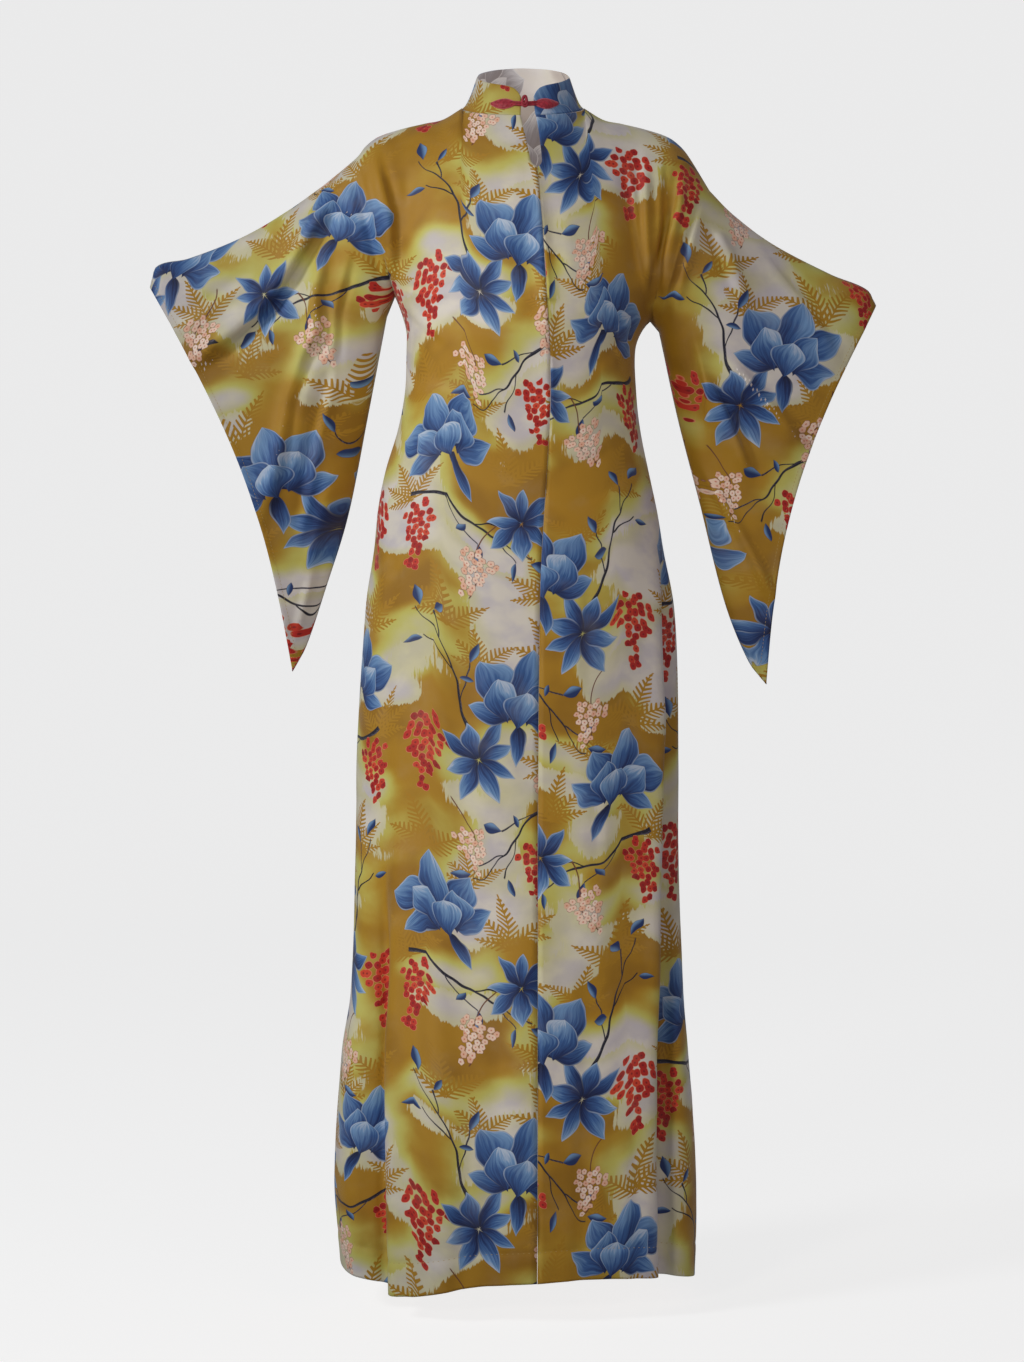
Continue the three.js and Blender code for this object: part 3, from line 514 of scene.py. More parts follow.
def grid_quads(number):
    """The faces of a grid of numbered points."""
    quads = np.stack([number[:-1, :-1], number[1:, :-1], number[1:, 1:], number[:-1, 1:]], axis=-1)
    return quads.reshape(-1, 4)


def stitched_shell(points, inner, faces):
    """Quads of a closed shell: outer faces, inner faces turned round, and the rim at their open edges."""
    shift = len(points)
    edges = np.concatenate([faces[:, [k, (k + 1) % 4]] for k in range(4)])
    known = {(int(a), int(b)) for a, b in edges}
    rim = [(b, a, a + shift, b + shift) for a, b in known if (b, a) not in known]
    everything = np.concatenate([faces, faces[:, ::-1] + shift, np.array(rim, dtype=int)])
    kinds = np.concatenate([np.zeros(len(faces)), np.ones(len(faces)), np.zeros(len(rim))]).astype(int)
    return np.concatenate([points, inner]), everything, kinds


def make_mesh(name, points, faces, smooth=True):
    mesh = bpy.data.meshes.new(name)
    mesh.vertices.add(len(points))
    mesh.vertices.foreach_set("co", (np.asarray(points) * MM).astype(np.float32).ravel())
    faces = np.asarray(faces)
    mesh.loops.add(faces.size)
    mesh.loops.foreach_set("vertex_index", faces.astype(np.int32).ravel())
    mesh.polygons.add(len(faces))
    mesh.polygons.foreach_set("loop_start", np.arange(0, faces.size, faces.shape[1], dtype=np.int32))
    mesh.polygons.foreach_set("use_smooth", np.full(len(faces), smooth))
    mesh.update(calc_edges=True)
    mesh.validate()
    return mesh


def link(name, data):
    made = bpy.data.objects.new(name, data)
    bpy.context.scene.collection.objects.link(made)
    return made


def add_piece(mesh, slot, node, *materials):
    """Adds one piece of the dress. It rides on the root, and stands for its solid where it has one."""
    made = link(mesh.name, mesh)
    for material in materials:
        mesh.materials.append(material)
    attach(made, "root")
    if node:
        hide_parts(node)
    return made


def panel(face, sides, fabric_shift, seed):
    """Everything of one panel: its points, faces and fabric coordinates, folded and with hems."""
    halves = [half_panel(face, side) for side in sides]
    seam = halves[0][5]

    def join(arrays):
        if len(arrays) == 1:
            return arrays[0]
        return np.concatenate([arrays[0][:, :0:-1], arrays[1]], axis=1)

    upper = join([h[0] for h in halves])
    lower = join([h[1] for h in halves])
    fabric_upper = join([h[2] for h in halves])
    fabric_lower = join([h[3] for h in halves])
    across_upper, down_upper = (join([h[4]["upper"][k] for h in halves]) for k in (0, 1))
    across_lower, down_lower = (join([h[4]["lower"][k] for h in halves]) for k in (0, 1))
    first = upper.shape[1] // 2 - seam if len(sides) == 2 else 0
    wide = upper.shape[1]
    number_upper = np.arange(upper.shape[0] * wide).reshape(upper.shape[0], wide)
    start = number_upper.size
    width = lower.shape[1]
    number_lower = np.arange(start, start + (lower.shape[0] - 1) * width).reshape(-1, width)
    number_lower = np.vstack([number_upper[-1, first : first + width], number_lower])
    faces = np.concatenate([grid_quads(number_upper), grid_quads(number_lower)])

    def flat(top, bottom):
        return np.concatenate([top.reshape(-1, *top.shape[2:]), bottom[1:].reshape(-1, *bottom.shape[2:])])

    points = flat(upper, lower)
    fabric = flat(fabric_upper, fabric_lower)
    across = flat(across_upper, across_lower)
    down = flat(down_upper, down_lower)
    normals = vertex_normals(points, faces)
    if (normals[:, 1] * face).sum() < 0:
        faces = faces[:, ::-1]
        normals = -normals
    # The finer folds, which fade out towards the seams.
    fade = np.where(down < 1, ramp(0, 0.09, down), 1.0)
    fade *= np.where(down <= 1, 1 - ramp(0.9, 1, down) * ramp(0.86, 1, across), 1 - ramp(0.94, 1, across))
    lift = fold_lift(FOLDS[face], points[:, 0], points[:, 2])
    sleeve_share = ramp(1, 1.6, across)
    lift += undulation(fabric[:, 0], fabric[:, 1], seed) * mix(0.9, 1.7, sleeve_share)
    lift *= fade
    # The turned hem and its line of stitches, and the narrow hem round the cuffs.
    up = np.where(down >= 1, (2 - down) * DROP_RUN, 1e3)
    pucker = np.sin(fabric[:, 0] / 2.9) + np.sin(fabric[:, 0] / 4.7 + 1)
    hem = 0.45 * (1 - ramp(HEM_WIDTH - 4, HEM_WIDTH + 1, up))
    lift += hem - (0.75 + 0.22 * pucker) * bell((up - HEM_WIDTH) / 3.2)
    inside = (3 - across) * SLEEVE_RUN
    cuff = 0.4 * (1 - ramp(CUFF_WIDTH - 2, CUFF_WIDTH + 1, inside))
    lift += cuff - 0.35 * bell((inside - CUFF_WIDTH) / 1.8)
    points = points + normals * lift[:, None]
    normals = vertex_normals(points, faces)
    lean = normals.copy()
    on_shoulder = (down <= 0) & (across >= NECK_SHARE)
    on_underarm = (across >= 1) & (down >= 1)
    lean[on_shoulder | on_underarm, 1] = 0
    if len(sides) == 1:
        lean[across <= 0, 0] = 0
    lean /= np.maximum(np.linalg.norm(lean, axis=1, keepdims=True), 1e-9)
    thick = CLOTH + 0.5 * (up < HEM_WIDTH) + 0.3 * (inside < CUFF_WIDTH)
    inner = points - lean * thick[:, None]
    shell, quads, kinds = stitched_shell(points, inner, faces)
    fabric = np.concatenate([fabric, fabric]) + np.array(fabric_shift, dtype=float)
    tracks = {
        "hem": number_lower[int(np.argmin(np.abs((2 - down_lower[:, 0]) * DROP_RUN - HEM_WIDTH)))],
        "cuffs": [number_upper[:, -4]] + ([number_upper[:, 3]] if len(sides) == 2 else []),
    }
    return {
        "points": shell, "faces": quads, "kinds": kinds, "fabric": fabric, "tracks": tracks,
        "outer": points, "normals": normals,
    }


# Layout of the print: a half-drop repeat. Columns: place across and down in each column of the repeat, turn
# in degrees, size.
REPEAT_WIDTH, REPEAT_HEIGHT = 222, 560
CHUNK = 20000  # faces that are looked up at a time
LAYOUT = {
    "cups": [(62, 88, 10, 0.98), (156, 352, -24, 0.86)],
    "stars": [(112, 158, 14, 0.92), (60, 430, 40, 0.8)],
    "berries": [(178, 176, 4, 1.0), (40, 296, -8, 0.85), (192, 470, 8, 0.84)],
    "sprays": [(24, 200, 10, 0.9), (118, 270, -20, 0.85), (120, 498, 24, 0.9)],
    "twigs": [(150, 62, 62, 0.9), (64, 250, -38, 0.85), (120, 440, 200, 0.9)],
    "fronds": [
        (176, 262, 0, 0.8), (70, 356, 8, 0.72), (20, 20, -6, 0.8), (150, 540, 4, 0.75), (106, 24, 4, 0.62),
        (20, 150, -8, 0.7), (120, 290, 6, 0.6), (30, 500, 0, 0.7), (200, 400, -5, 0.66),
    ],
}


def instances(layer):
    places = []
    for column in range(-6, 8):
        for row in range(-3, 6):
            for number, (u, v, turn, size) in enumerate(LAYOUT[layer]):
                flip = -1 if column % 2 else 1
                drop = REPEAT_HEIGHT / 2 if column % 2 else 0
                inside = u if flip > 0 else REPEAT_WIDTH - u
                places.append((
                    column * REPEAT_WIDTH + inside, row * REPEAT_HEIGHT + v + drop, math.radians(turn) * flip,
                    size, flip, (number * 0.37 + (column % 2) * 0.21) % 1,
                ))
    return np.array(places)


def add_print(mesh, faces, fabric):
    """Each corner of each face gets the place in the nearest motif of each layer, as (right, up, seed)."""
    corner = fabric[faces]
    middle = corner.mean(axis=1)
    flat_fabric = mesh.attributes.new("fabric", "FLOAT_VECTOR", "CORNER")
    values = np.concatenate([corner, np.zeros(corner.shape[:2] + (1,))], axis=-1)
    flat_fabric.data.foreach_set("vector", values.astype(np.float32).ravel())
    for layer in LAYOUT:
        places = instances(layer)
        nearest = np.zeros(len(middle), dtype=int)
        for start in range(0, len(middle), CHUNK):
            part = middle[start : start + CHUNK]
            away = ((part[:, None] - places[None, :, :2]) ** 2).sum(axis=-1) / places[None, :, 3] ** 2
            nearest[start : start + CHUNK] = away.argmin(axis=1)
        chosen = places[nearest][:, None]
        du = (corner[..., 0] - chosen[..., 0]) * chosen[..., 4]
        dv = -(corner[..., 1] - chosen[..., 1])
        turn = chosen[..., 2] * chosen[..., 4]
        right = (du * np.cos(turn) + dv * np.sin(turn)) / chosen[..., 3]
        up = (-du * np.sin(turn) + dv * np.cos(turn)) / chosen[..., 3]
        seed = np.broadcast_to(chosen[..., 5], right.shape)
        made = mesh.attributes.new(layer, "FLOAT_VECTOR", "CORNER")
        made.data.foreach_set("vector", np.stack([right, up, seed], axis=-1).astype(np.float32).ravel())


def add_bake_map(mesh, faces, fabric, kinds):
    """A flat map for baking: the outer side large, the inner side small beside it."""
    low, high = fabric.min(axis=0), fabric.max(axis=0)
    span = (high - low).max()
    flat_map = (fabric[faces] - low) / span
    small = kinds[:, None] == 1
    u = np.where(small, 0.74 + flat_map[..., 0] * 0.25, 0.005 + flat_map[..., 0] * 0.72)
    v = np.where(small, 0.01 + flat_map[..., 1] * 0.25, 0.005 + flat_map[..., 1] * 0.72)
    layer = mesh.uv_layers.new(name="OFBake")
    layer.data.foreach_set("uv", np.stack([u, v], axis=-1).astype(np.float32).ravel())


# Shader nodes by short formulas.
def srgb(red, green, blue):
    def linear(c):
        c /= 255
        return c / 12.92 if c <= 0.04045 else ((c + 0.055) / 1.055) ** 2.4

    return (linear(red), linear(green), linear(blue), 1.0)


def formula(operation, turned=False):
    def apply(value, other):
        pair = (other, value) if turned else (value, other)
        return value.sheet.math(operation, *pair)

    return apply


class Value:
    """A number or vector socket that takes part in formulas."""

    def __init__(self, sheet, socket):
        self.sheet = sheet
        self.socket = socket

    __add__ = formula("ADD")
    __sub__ = formula("SUBTRACT")
    __rsub__ = formula("SUBTRACT", turned=True)
    __mul__ = formula("MULTIPLY")
    __rmul__ = formula("MULTIPLY", turned=True)
    __truediv__ = formula("DIVIDE")
    __pow__ = formula("POWER")

    def __abs__(self):
        return self.sheet.math("ABSOLUTE", self)


class Sheet:
    """A node tree, with a method for each kind of node that the materials use."""

    def __init__(self, tree):
        self.tree = tree

    def node(self, kind, **settings):
        made = self.tree.nodes.new(kind)
        for name, value in settings.items():
            setattr(made, name, value)
        return made

    def feed(self, socket, value):
        if isinstance(value, Value):
            self.tree.links.new(value.socket, socket)
        else:
            socket.default_value = value

    def math(self, operation, *values):
        made = self.node("ShaderNodeMath", operation=operation)
        for socket, value in zip(made.inputs, values):
            self.feed(socket, value)
        return Value(self, made.outputs[0])

    def attribute(self, name):
        made = self.node("ShaderNodeAttribute", attribute_name=name, attribute_type="GEOMETRY")
        return Value(self, made.outputs["Vector"])

    def split(self, vector):
        made = self.node("ShaderNodeSeparateXYZ")
        self.feed(made.inputs[0], vector)
        return [Value(self, made.outputs[k]) for k in range(3)]

    def join(self, x=0.0, y=0.0, z=0.0):
        made = self.node("ShaderNodeCombineXYZ")
        for socket, value in zip(made.inputs, (x, y, z)):
            self.feed(socket, value)
        return Value(self, made.outputs[0])

    def step(self, start, end, value, low=0.0, high=1.0):
        """Rises smoothly from low to high between start and end."""
        made = self.node("ShaderNodeMapRange", interpolation_type="SMOOTHSTEP")
        sockets = {"Value": value, "From Min": start, "From Max": end, "To Min": low, "To Max": high}
        for name, number in sockets.items():
            self.feed(made.inputs[name], number)
        return Value(self, made.outputs[0])

    def noise(self, vector, scale, detail=2.0, roughness=0.5):
        made = self.node("ShaderNodeTexNoise", noise_dimensions="3D")
        self.feed(made.inputs["Vector"], vector)
        made.inputs["Scale"].default_value = scale
        made.inputs["Detail"].default_value = detail
        made.inputs["Roughness"].default_value = roughness
        return Value(self, made.outputs["Factor" if "Factor" in made.outputs else "Fac"])

    def cells(self, vector, scale, randomness=0.8):
        made = self.node("ShaderNodeTexVoronoi", voronoi_dimensions="2D", feature="F1")
        self.feed(made.inputs["Vector"], vector)
        made.inputs["Scale"].default_value = scale
        made.inputs["Randomness"].default_value = randomness
        return Value(self, made.outputs["Position"])

    def blend(self, a, b, factor):
        made = self.node("ShaderNodeMix", data_type="RGBA")
        self.feed(made.inputs[0], factor)
        self.feed(made.inputs[6], a)
        self.feed(made.inputs[7], b)
        return Value(self, made.outputs[2])

    def ramp(self, value, *stops):
        made = self.node("ShaderNodeValToRGB")
        self.feed(made.inputs[0], value)
        elements = made.color_ramp.elements
        while len(elements) < len(stops):
            elements.new(0.5)
        for element, (place, colour) in zip(elements, stops):
            element.position = place
            element.color = colour
        return Value(self, made.outputs[0])

    def bump(self, height, strength):
        made = self.node("ShaderNodeBump")
        made.inputs["Strength"].default_value = strength
        made.inputs["Distance"].default_value = 1.0
        self.feed(made.inputs["Height"], height)
        return Value(self, made.outputs[0])

    def largest(self, a, b):
        return self.math("MAXIMUM", a, b)

    def smallest(self, a, b):
        return self.math("MINIMUM", a, b)


def surface(name):
    """A new material, the sheet for its nodes, and its shader."""
    material = bpy.data.materials.new(name)
    material.use_nodes = True
    return material, Sheet(material.node_tree), material.node_tree.nodes["Principled BSDF"]


def group(name, draw):
    """A node group that turns a place in a motif into its colour and its mask."""
    tree = bpy.data.node_groups.new(name, "ShaderNodeTree")
    tree.interface.new_socket("Place", in_out="INPUT", socket_type="NodeSocketVector")
    tree.interface.new_socket("Color", in_out="OUTPUT", socket_type="NodeSocketColor")
    tree.interface.new_socket("Mask", in_out="OUTPUT", socket_type="NodeSocketFloat")
    sheet = Sheet(tree)
    entry = sheet.node("NodeGroupInput")
    leave = sheet.node("NodeGroupOutput")
    colour, mask = draw(sheet, Value(sheet, entry.outputs[0]))
    sheet.feed(leave.inputs[0], colour)
    sheet.feed(leave.inputs[1], mask)
    return tree


NAVY = srgb(18, 28, 66)
DEEP = srgb(30, 54, 108)
MID = srgb(58, 98, 158)
LIGHT = srgb(118, 158, 204)
PALE = srgb(188, 204, 226)
EDGE = 1.0  # how far a drawn edge takes to fill in, in mm

# Petals of the two blue blossoms, back to front. Columns: foot right and up, turn from the right in degrees,
# length, half width, place of the belly (above 1 is nearer the tip), bend, and how light the petal is.
CUP_PETALS = [
    (0, -26, 250, 52, 13, 0.9, 8, -0.1), (-6, -20, 188, 60, 17, 1.2, -14, 0.0),
    (6, -20, -6, 62, 17, 1.2, 14, 0.0), (-8, -16, 128, 76, 23, 1.4, 5, -0.06),
    (8, -16, 54, 78, 23, 1.4, -5, -0.02), (0, -18, 91, 84, 24, 1.5, 2, 0.04),
    (-12, -30, 116, 60, 22, 1.3, -8, 0.0), (14, -30, 66, 60, 22, 1.3, 8, 0.1),
    (0, -34, 94, 50, 25, 1.3, 4, 0.16),
]
STAR_PETALS = [
    (0, 0, 12, 58, 12, 1.1, 5, -0.1), (0, 0, 55, 50, 11, 1.0, -4, 0.0), (0, 0, 98, 62, 12, 1.1, 4, -0.05),
    (0, 0, 143, 52, 12, 1.0, -5, 0.05), (0, 0, 186, 56, 11, 1.1, 4, 0.0), (0, 0, 232, 60, 13, 1.1, -4, 0.08),
    (0, 0, 278, 66, 14, 1.1, 5, 0.0), (0, 0, 322, 54, 12, 1.0, -4, 0.1),
]
PETAL_STOPS = ((0.0, NAVY), (0.26, DEEP), (0.54, MID), (0.84, LIGHT), (1.0, PALE))


def petal(sheet, state, x, y, seed, row):
    """Draws one petal over what is there: deep at its foot, streaked, with a pale rim and a dark outline."""
    foot_x, foot_y, turn, long, wide, belly, bend, light = row
    colour, mask = state
    turn = math.radians(turn)
    dx, dy = x - foot_x, y - foot_y
    along = (dx * math.cos(turn) + dy * math.sin(turn)) / long
    t = sheet.smallest(sheet.largest(along, 0.0), 1.0)
    off = dx * -math.sin(turn) + dy * math.cos(turn) - t * t * bend
    half = sheet.math("SINE", t**belly * math.pi) * wide
    margin = half - abs(off)
    inside = sheet.step(0.0, EDGE, margin)
    side = off / (half + 1.0)
    streak = sheet.noise(sheet.join(side * 5.0 + turn * 3.0, t * 1.5, seed), 1.6, 2.0)
    shade = sheet.ramp(t * 0.84 + side * 0.2 + (streak - 0.5) * 0.66 + (0.02 + light), *PETAL_STOPS)
    rim = sheet.step(3.0, 1.0, margin) * sheet.step(0.1, 0.6, t)
    shade = sheet.blend(shade, PALE, rim * 0.62)
    shade = sheet.blend(shade, NAVY, sheet.step(1.0, 0.1, margin) * 0.9)
    return sheet.blend(colour, shade, inside), sheet.largest(mask, inside)


def bent(sheet, place, reach):
    """The place in a motif, bent a little and differently for each seed, as if drawn by hand."""
    x, y, seed = sheet.split(place)
    first = sheet.noise(sheet.join(x, y, seed * 90.0), 0.022, 1.0)
    second = sheet.noise(sheet.join(y, x, seed * 50.0 + 20.0), 0.022, 1.0)
    return x + (first - 0.5) * reach, y + (second - 0.5) * reach, seed


def draw_cup(sheet, place):
    x, y, seed = bent(sheet, place, 26.0)
    state = (NAVY, 0.0)
    for row in CUP_PETALS:
        state = petal(sheet, state, x, y, seed, row)
    return state


def draw_star(sheet, place):
    x, y, seed = bent(sheet, place, 22.0)
    state = (NAVY, 0.0)
    for row in STAR_PETALS:
        state = petal(sheet, state, x, y, seed, row)
    colour, mask = state
    return sheet.blend(colour, NAVY, sheet.step(9.0, 2.0, sheet.math("SQRT", x * x + y * y))), mask


def cluster(sheet, place, long, wide, cell, colours, line, petal_count, lobe):
    """Small blossoms that hang in a bunch, broad above and narrow below."""
    x, y, seed = bent(sheet, place, 12.0)
    middle = sheet.cells(sheet.join(x, y, 0.0), 1.0 / cell, 0.62)
    mx, my, _ = sheet.split(middle)
    down = (long * 0.5 - my) / long
    half = wide * sheet.step(-0.08, 0.2, down) * (1.1 - down)
    ragged = (sheet.noise(sheet.join(mx, my, seed * 40.0), 0.09, 1.0) - 0.5) * (wide * 0.6)
    kept = sheet.math("GREATER_THAN", half + ragged, abs(mx)) * sheet.math("LESS_THAN", down, 1.0)
    kept = kept * sheet.math("GREATER_THAN", down, 0.0)
    dx, dy = x - mx, y - my
    near = sheet.math("SQRT", dx * dx + dy * dy) / cell
    angle = sheet.math("ARCTAN2", dy, dx)
    tone = sheet.math("FRACT", mx * 0.317 + my * 0.731)
    lobes = sheet.math("COSINE", angle * float(petal_count) + tone * 6.0) * lobe
    edge = lobes + 0.57 - near
    round_mask = sheet.step(-0.03, 0.05, edge) * kept
    body = sheet.ramp(tone, (0.1, colours[0]), (0.5, colours[1]), (0.95, colours[2]))
    body = sheet.blend(body, colours[3], sheet.step(0.2, 0.05, near) * 0.8)
    body = sheet.blend(body, line, sheet.step(0.11, 0.03, edge) * 0.85)
    return body, round_mask


def draw_berries(sheet, place):
    red = (srgb(164, 26, 28), srgb(196, 42, 34), srgb(216, 70, 44), srgb(120, 16, 22))
    return cluster(sheet, place, 98.0, 30.0, 9.6, red, srgb(236, 150, 110), 4, 0.02)


def draw_sprays(sheet, place):
    """Pale blossoms on a thin arching stalk."""
    pink = (srgb(236, 188, 160), srgb(244, 210, 188), srgb(250, 228, 212), srgb(206, 96, 70))
    colour, mask = cluster(sheet, place, 72.0, 28.0, 8.2, pink, srgb(140, 62, 44), 5, 0.03)
    x, y, seed = bent(sheet, place, 12.0)
    stalk = x - sheet.math("SINE", y * 0.05 + seed * 6.0) * 9.0
    lines = sheet.step(1.3, 0.5, abs(stalk)) * sheet.step(-30.0, -26.0, y) * sheet.step(80.0, 76.0, y)
    return sheet.blend(srgb(112, 66, 44), colour, mask), sheet.largest(lines, mask)


# Twigs. Columns of branches: start, lean, length. Columns of leaves: foot right and up, turn in degrees,
# length, half width.
BRANCHES = [(-40.0, 0.75, 52.0), (2.0, -0.7, 46.0), (34.0, 0.62, 34.0)]
TWIG_LEAVES = [
    (10, 24, 50, 30, 7), (44, -26, -60, 26, 6), (86, 6, 10, 30, 7), (-10, 6, 110, 22, 5), (66, 16, 70, 22, 6),
]


def draw_twigs(sheet, place):
    """A dark forked twig with a few small pointed leaves."""
    x, y, seed = bent(sheet, place, 26.0)
    middle = sheet.math("SINE", x * 0.03 + seed * 5.0) * 10.0
    off = y - middle
    thick = sheet.step(-95.0, 80.0, x, 3.0, 0.7)
    wood = sheet.step(0.5, -0.5, abs(off) - thick) * sheet.step(-96.0, -94.0, x) * sheet.step(88.0, 86.0, x)
    for start, lean, long in BRANCHES:
        from_start = x - start
        branch = off - from_start * lean + from_start * from_start * (lean * 0.007)
        shown = sheet.step(-1.0, 1.0, from_start) * sheet.step(long, long - 2.0, from_start)
        wood = sheet.largest(wood, sheet.step(1.5, 0.6, abs(branch)) * shown)
    leaf, tone = 0.0, NAVY
    for foot_x, foot_y, turn, long, wide in TWIG_LEAVES:
        turn = math.radians(turn)
        dx, dy = x - foot_x, off - foot_y
        t = sheet.smallest(sheet.largest((dx * math.cos(turn) + dy * math.sin(turn)) / long, 0.0), 1.0)
        across = dx * -math.sin(turn) + dy * math.cos(turn)
        margin = sheet.math("SINE", t * math.pi) * wide - abs(across)
        one = sheet.step(0.0, EDGE, margin)
        shade = sheet.blend(DEEP, LIGHT, sheet.step(-2.0, 5.0, across))
        shade = sheet.blend(shade, NAVY, sheet.step(1.2, 0.3, margin))
        tone = sheet.blend(tone, shade, one)
        leaf = sheet.largest(leaf, one)
    grain = sheet.noise(sheet.join(x * 0.3, y * 2.0, seed), 0.7, 2.0)
    lit = sheet.step(0.45, 0.7, grain) * sheet.step(-1.0, 1.5, off)
    bark = sheet.blend(srgb(28, 28, 44), srgb(96, 92, 112), lit)
    return sheet.blend(bark, tone, leaf), sheet.largest(wood, leaf)


OCHRE = srgb(178, 132, 28)
# Columns: turn from upright, length, and the side to which the leaf bows.
FERN_LEAVES = [(0.1, 92.0, 1), (0.7, 82.0, 1), (-0.62, 86.0, -1), (1.25, 62.0, 1)]


def draw_fronds(sheet, place):
    """Arching fern leaves from one foot, in one flat tone."""
    x, y, seed = bent(sheet, place, 10.0)
    y = y + 40.0
    mask = 0.0
    for turn, long, bow in FERN_LEAVES:
        up = x * math.sin(turn) + y * math.cos(turn)
        off = x * math.cos(turn) - y * math.sin(turn) - up * up * (0.0032 * bow)
        t = sheet.smallest(sheet.largest(up / long, 0.0), 1.0)
        half = sheet.math("SINE", t**0.75 * math.pi) * (long * 0.2)
        comb = abs(sheet.math("FRACT", (up - abs(off) * 0.8) / 8.5 + seed) - 0.5)
        room = half - abs(off)
        filled = sheet.step(0.0, EDGE, room)
        leaflets = filled * sheet.step(-0.05, 0.05, comb - 0.17 - abs(off) / (half + 1.0) * 0.16)
        rib = sheet.step(1.6, 0.8, abs(off)) * sheet.step(0.0, 0.02, t) * sheet.step(1.0, 0.98, t)
        mask = sheet.largest(mask, sheet.largest(leaflets, rib))
    return OCHRE, mask


DRAWN = {
    "cups": draw_cup, "stars": draw_star, "berries": draw_berries, "sprays": draw_sprays, "twigs": draw_twigs,
    "fronds": draw_fronds,
}
GROUPS = {layer: group(layer, draw) for layer, draw in DRAWN.items()}


def stamp(sheet, colour, layer):
    """Lays one layer over the colour.

    The place comes first, or its values pile up past the renderer's limit.
    """
    place = sheet.attribute(layer)
    made = sheet.node("ShaderNodeGroup", node_tree=GROUPS[layer])
    sheet.feed(made.inputs[0], place)
    return sheet.blend(colour, Value(sheet, made.outputs[0]), Value(sheet, made.outputs[1]))


def draw_ground(sheet):
    """Mustard fields on a warm white ground: ragged and grassy above, fading through yellow-green below."""
    u, v, _ = sheet.split(sheet.attribute("fabric"))

    def level(down, depth):
        return sheet.noise(sheet.join(u * 0.7, v + down, depth), 0.0098, 1.5, 0.4)

    here, below = level(0.0, 0.0), level(34.0, 0.0)
    fine = sheet.noise(sheet.join(u * 0.8, v, 40.0), 0.03, 3.0)
    blades = sheet.noise(sheet.join(u * 0.3, v * 0.035, 9.0), 1.0, 3.0, 0.6)
    solid = sheet.step(0.452, 0.462, here + (blades - 0.5) * 0.1 + (fine - 0.5) * 0.06)
    soft = below + (fine - 0.5) * 0.08
    white = sheet.blend(srgb(206, 200, 204), srgb(226, 220, 210), sheet.step(0.35, 0.65, fine))
    glow = sheet.blend(white, srgb(204, 200, 104), sheet.step(0.36, 0.47, soft))
    glow = sheet.blend(glow, srgb(194, 160, 50), sheet.step(0.44, 0.55, soft))
    tone = sheet.noise(sheet.join(u, v, 3.0), 0.014, 2.0)
    mustard = sheet.blend(OCHRE, srgb(158, 114, 22), sheet.step(0.4, 0.65, tone))
    field = sheet.blend(glow, mustard, sheet.step(0.46, 0.58, soft))
    halo = sheet.blend(white, srgb(212, 208, 130), sheet.step(0.36, 0.46, here) * 0.55)
    return sheet.blend(halo, field, solid)


def cloth_surface(name, reverse):
    material, sheet, shader = surface(name)
    colour = draw_ground(sheet)
    for layer in ("fronds", "twigs", "sprays", "berries", "stars", "cups"):
        colour = stamp(sheet, colour, layer)
    if reverse:
        grey = sheet.node("ShaderNodeRGBToBW")
        sheet.feed(grey.inputs[0], colour)
        tone = sheet.step(0.02, 0.5, Value(sheet, grey.outputs[0]))
        pale = sheet.blend(srgb(172, 162, 158), srgb(238, 232, 228), tone)
        colour = sheet.blend(pale, colour, 0.14)
        sheet.feed(shader.inputs["Emission Color"], colour)
        shader.inputs["Emission Strength"].default_value = 0.16  # for the light that comes through thin cloth
    fabric = sheet.attribute("fabric")
    u, v, _ = sheet.split(fabric)
    weave = sheet.math("SINE", u * 9.0) * sheet.math("SINE", v * 9.0)
    slub = sheet.noise(sheet.join(u * 0.25, v * 1.6, 0.0), 1.0, 2.0)
    crumple = sheet.noise(fabric, 0.05, 4.0, 0.6)
    height = weave * 0.00004 + slub * 0.00005 + crumple * 0.0009
    relief = sheet.bump(height, 0.6)
    faded = sheet.noise(fabric, 0.02, 3.0)
    colour = sheet.blend(colour, srgb(196, 184, 160), sheet.step(0.5, 0.8, faded) * 0.12)
    sheet.feed(shader.inputs["Base Color"], colour)
    sheet.feed(shader.inputs["Normal"], relief)
    sheet.feed(shader.inputs["Roughness"], sheet.step(0.3, 0.7, slub, 0.5, 0.62))
    shader.inputs["Specular IOR Level"].default_value = 0.35
    shader.inputs["Sheen Weight"].default_value = 0.25
    shader.inputs["Sheen Roughness"].default_value = 0.4
    return material


def crimson_surface(name, light):
    material, sheet, shader = surface(name)
    place = Value(sheet, sheet.node("ShaderNodeTexCoord").outputs["Object"])
    x, _, z = sheet.split(place)
    tone = sheet.noise(place, 260.0, 3.0)
    dark, bright = srgb(150, 26, 46), srgb(190, 40, 62)
    if light:
        dark, bright = srgb(190, 64, 84), srgb(222, 110, 124)
    sheet.feed(shader.inputs["Base Color"], sheet.blend(dark, bright, sheet.step(0.3, 0.7, tone)))
    thread = sheet.math("SINE", x * 9000.0 + z * 5200.0) * sheet.math("SINE", z * 9000.0 - x * 5200.0)
    sheet.feed(shader.inputs["Normal"], sheet.bump(thread * 0.00005 + tone * 0.0004, 0.5))
    shader.inputs["Roughness"].default_value = 0.5
    shader.inputs["Sheen Weight"].default_value = 0.2
    return material


printed = cloth_surface("printed cloth", False)
reverse = cloth_surface("reverse of the printed cloth", True)
crimson = crimson_surface("crimson satin", False)
piping_red = crimson_surface("pink-red piping", True)


# The four printed pieces.
def add_cloth(node, points, faces, kinds, fabric):
    mesh = make_mesh(node + "_cloth", points, faces)
    mesh.polygons.foreach_set("material_index", kinds.astype(np.int32))
    add_print(mesh, faces, fabric)
    add_bake_map(mesh, faces, fabric, kinds)
    return add_piece(mesh, "printed_cloth", node, printed, reverse)


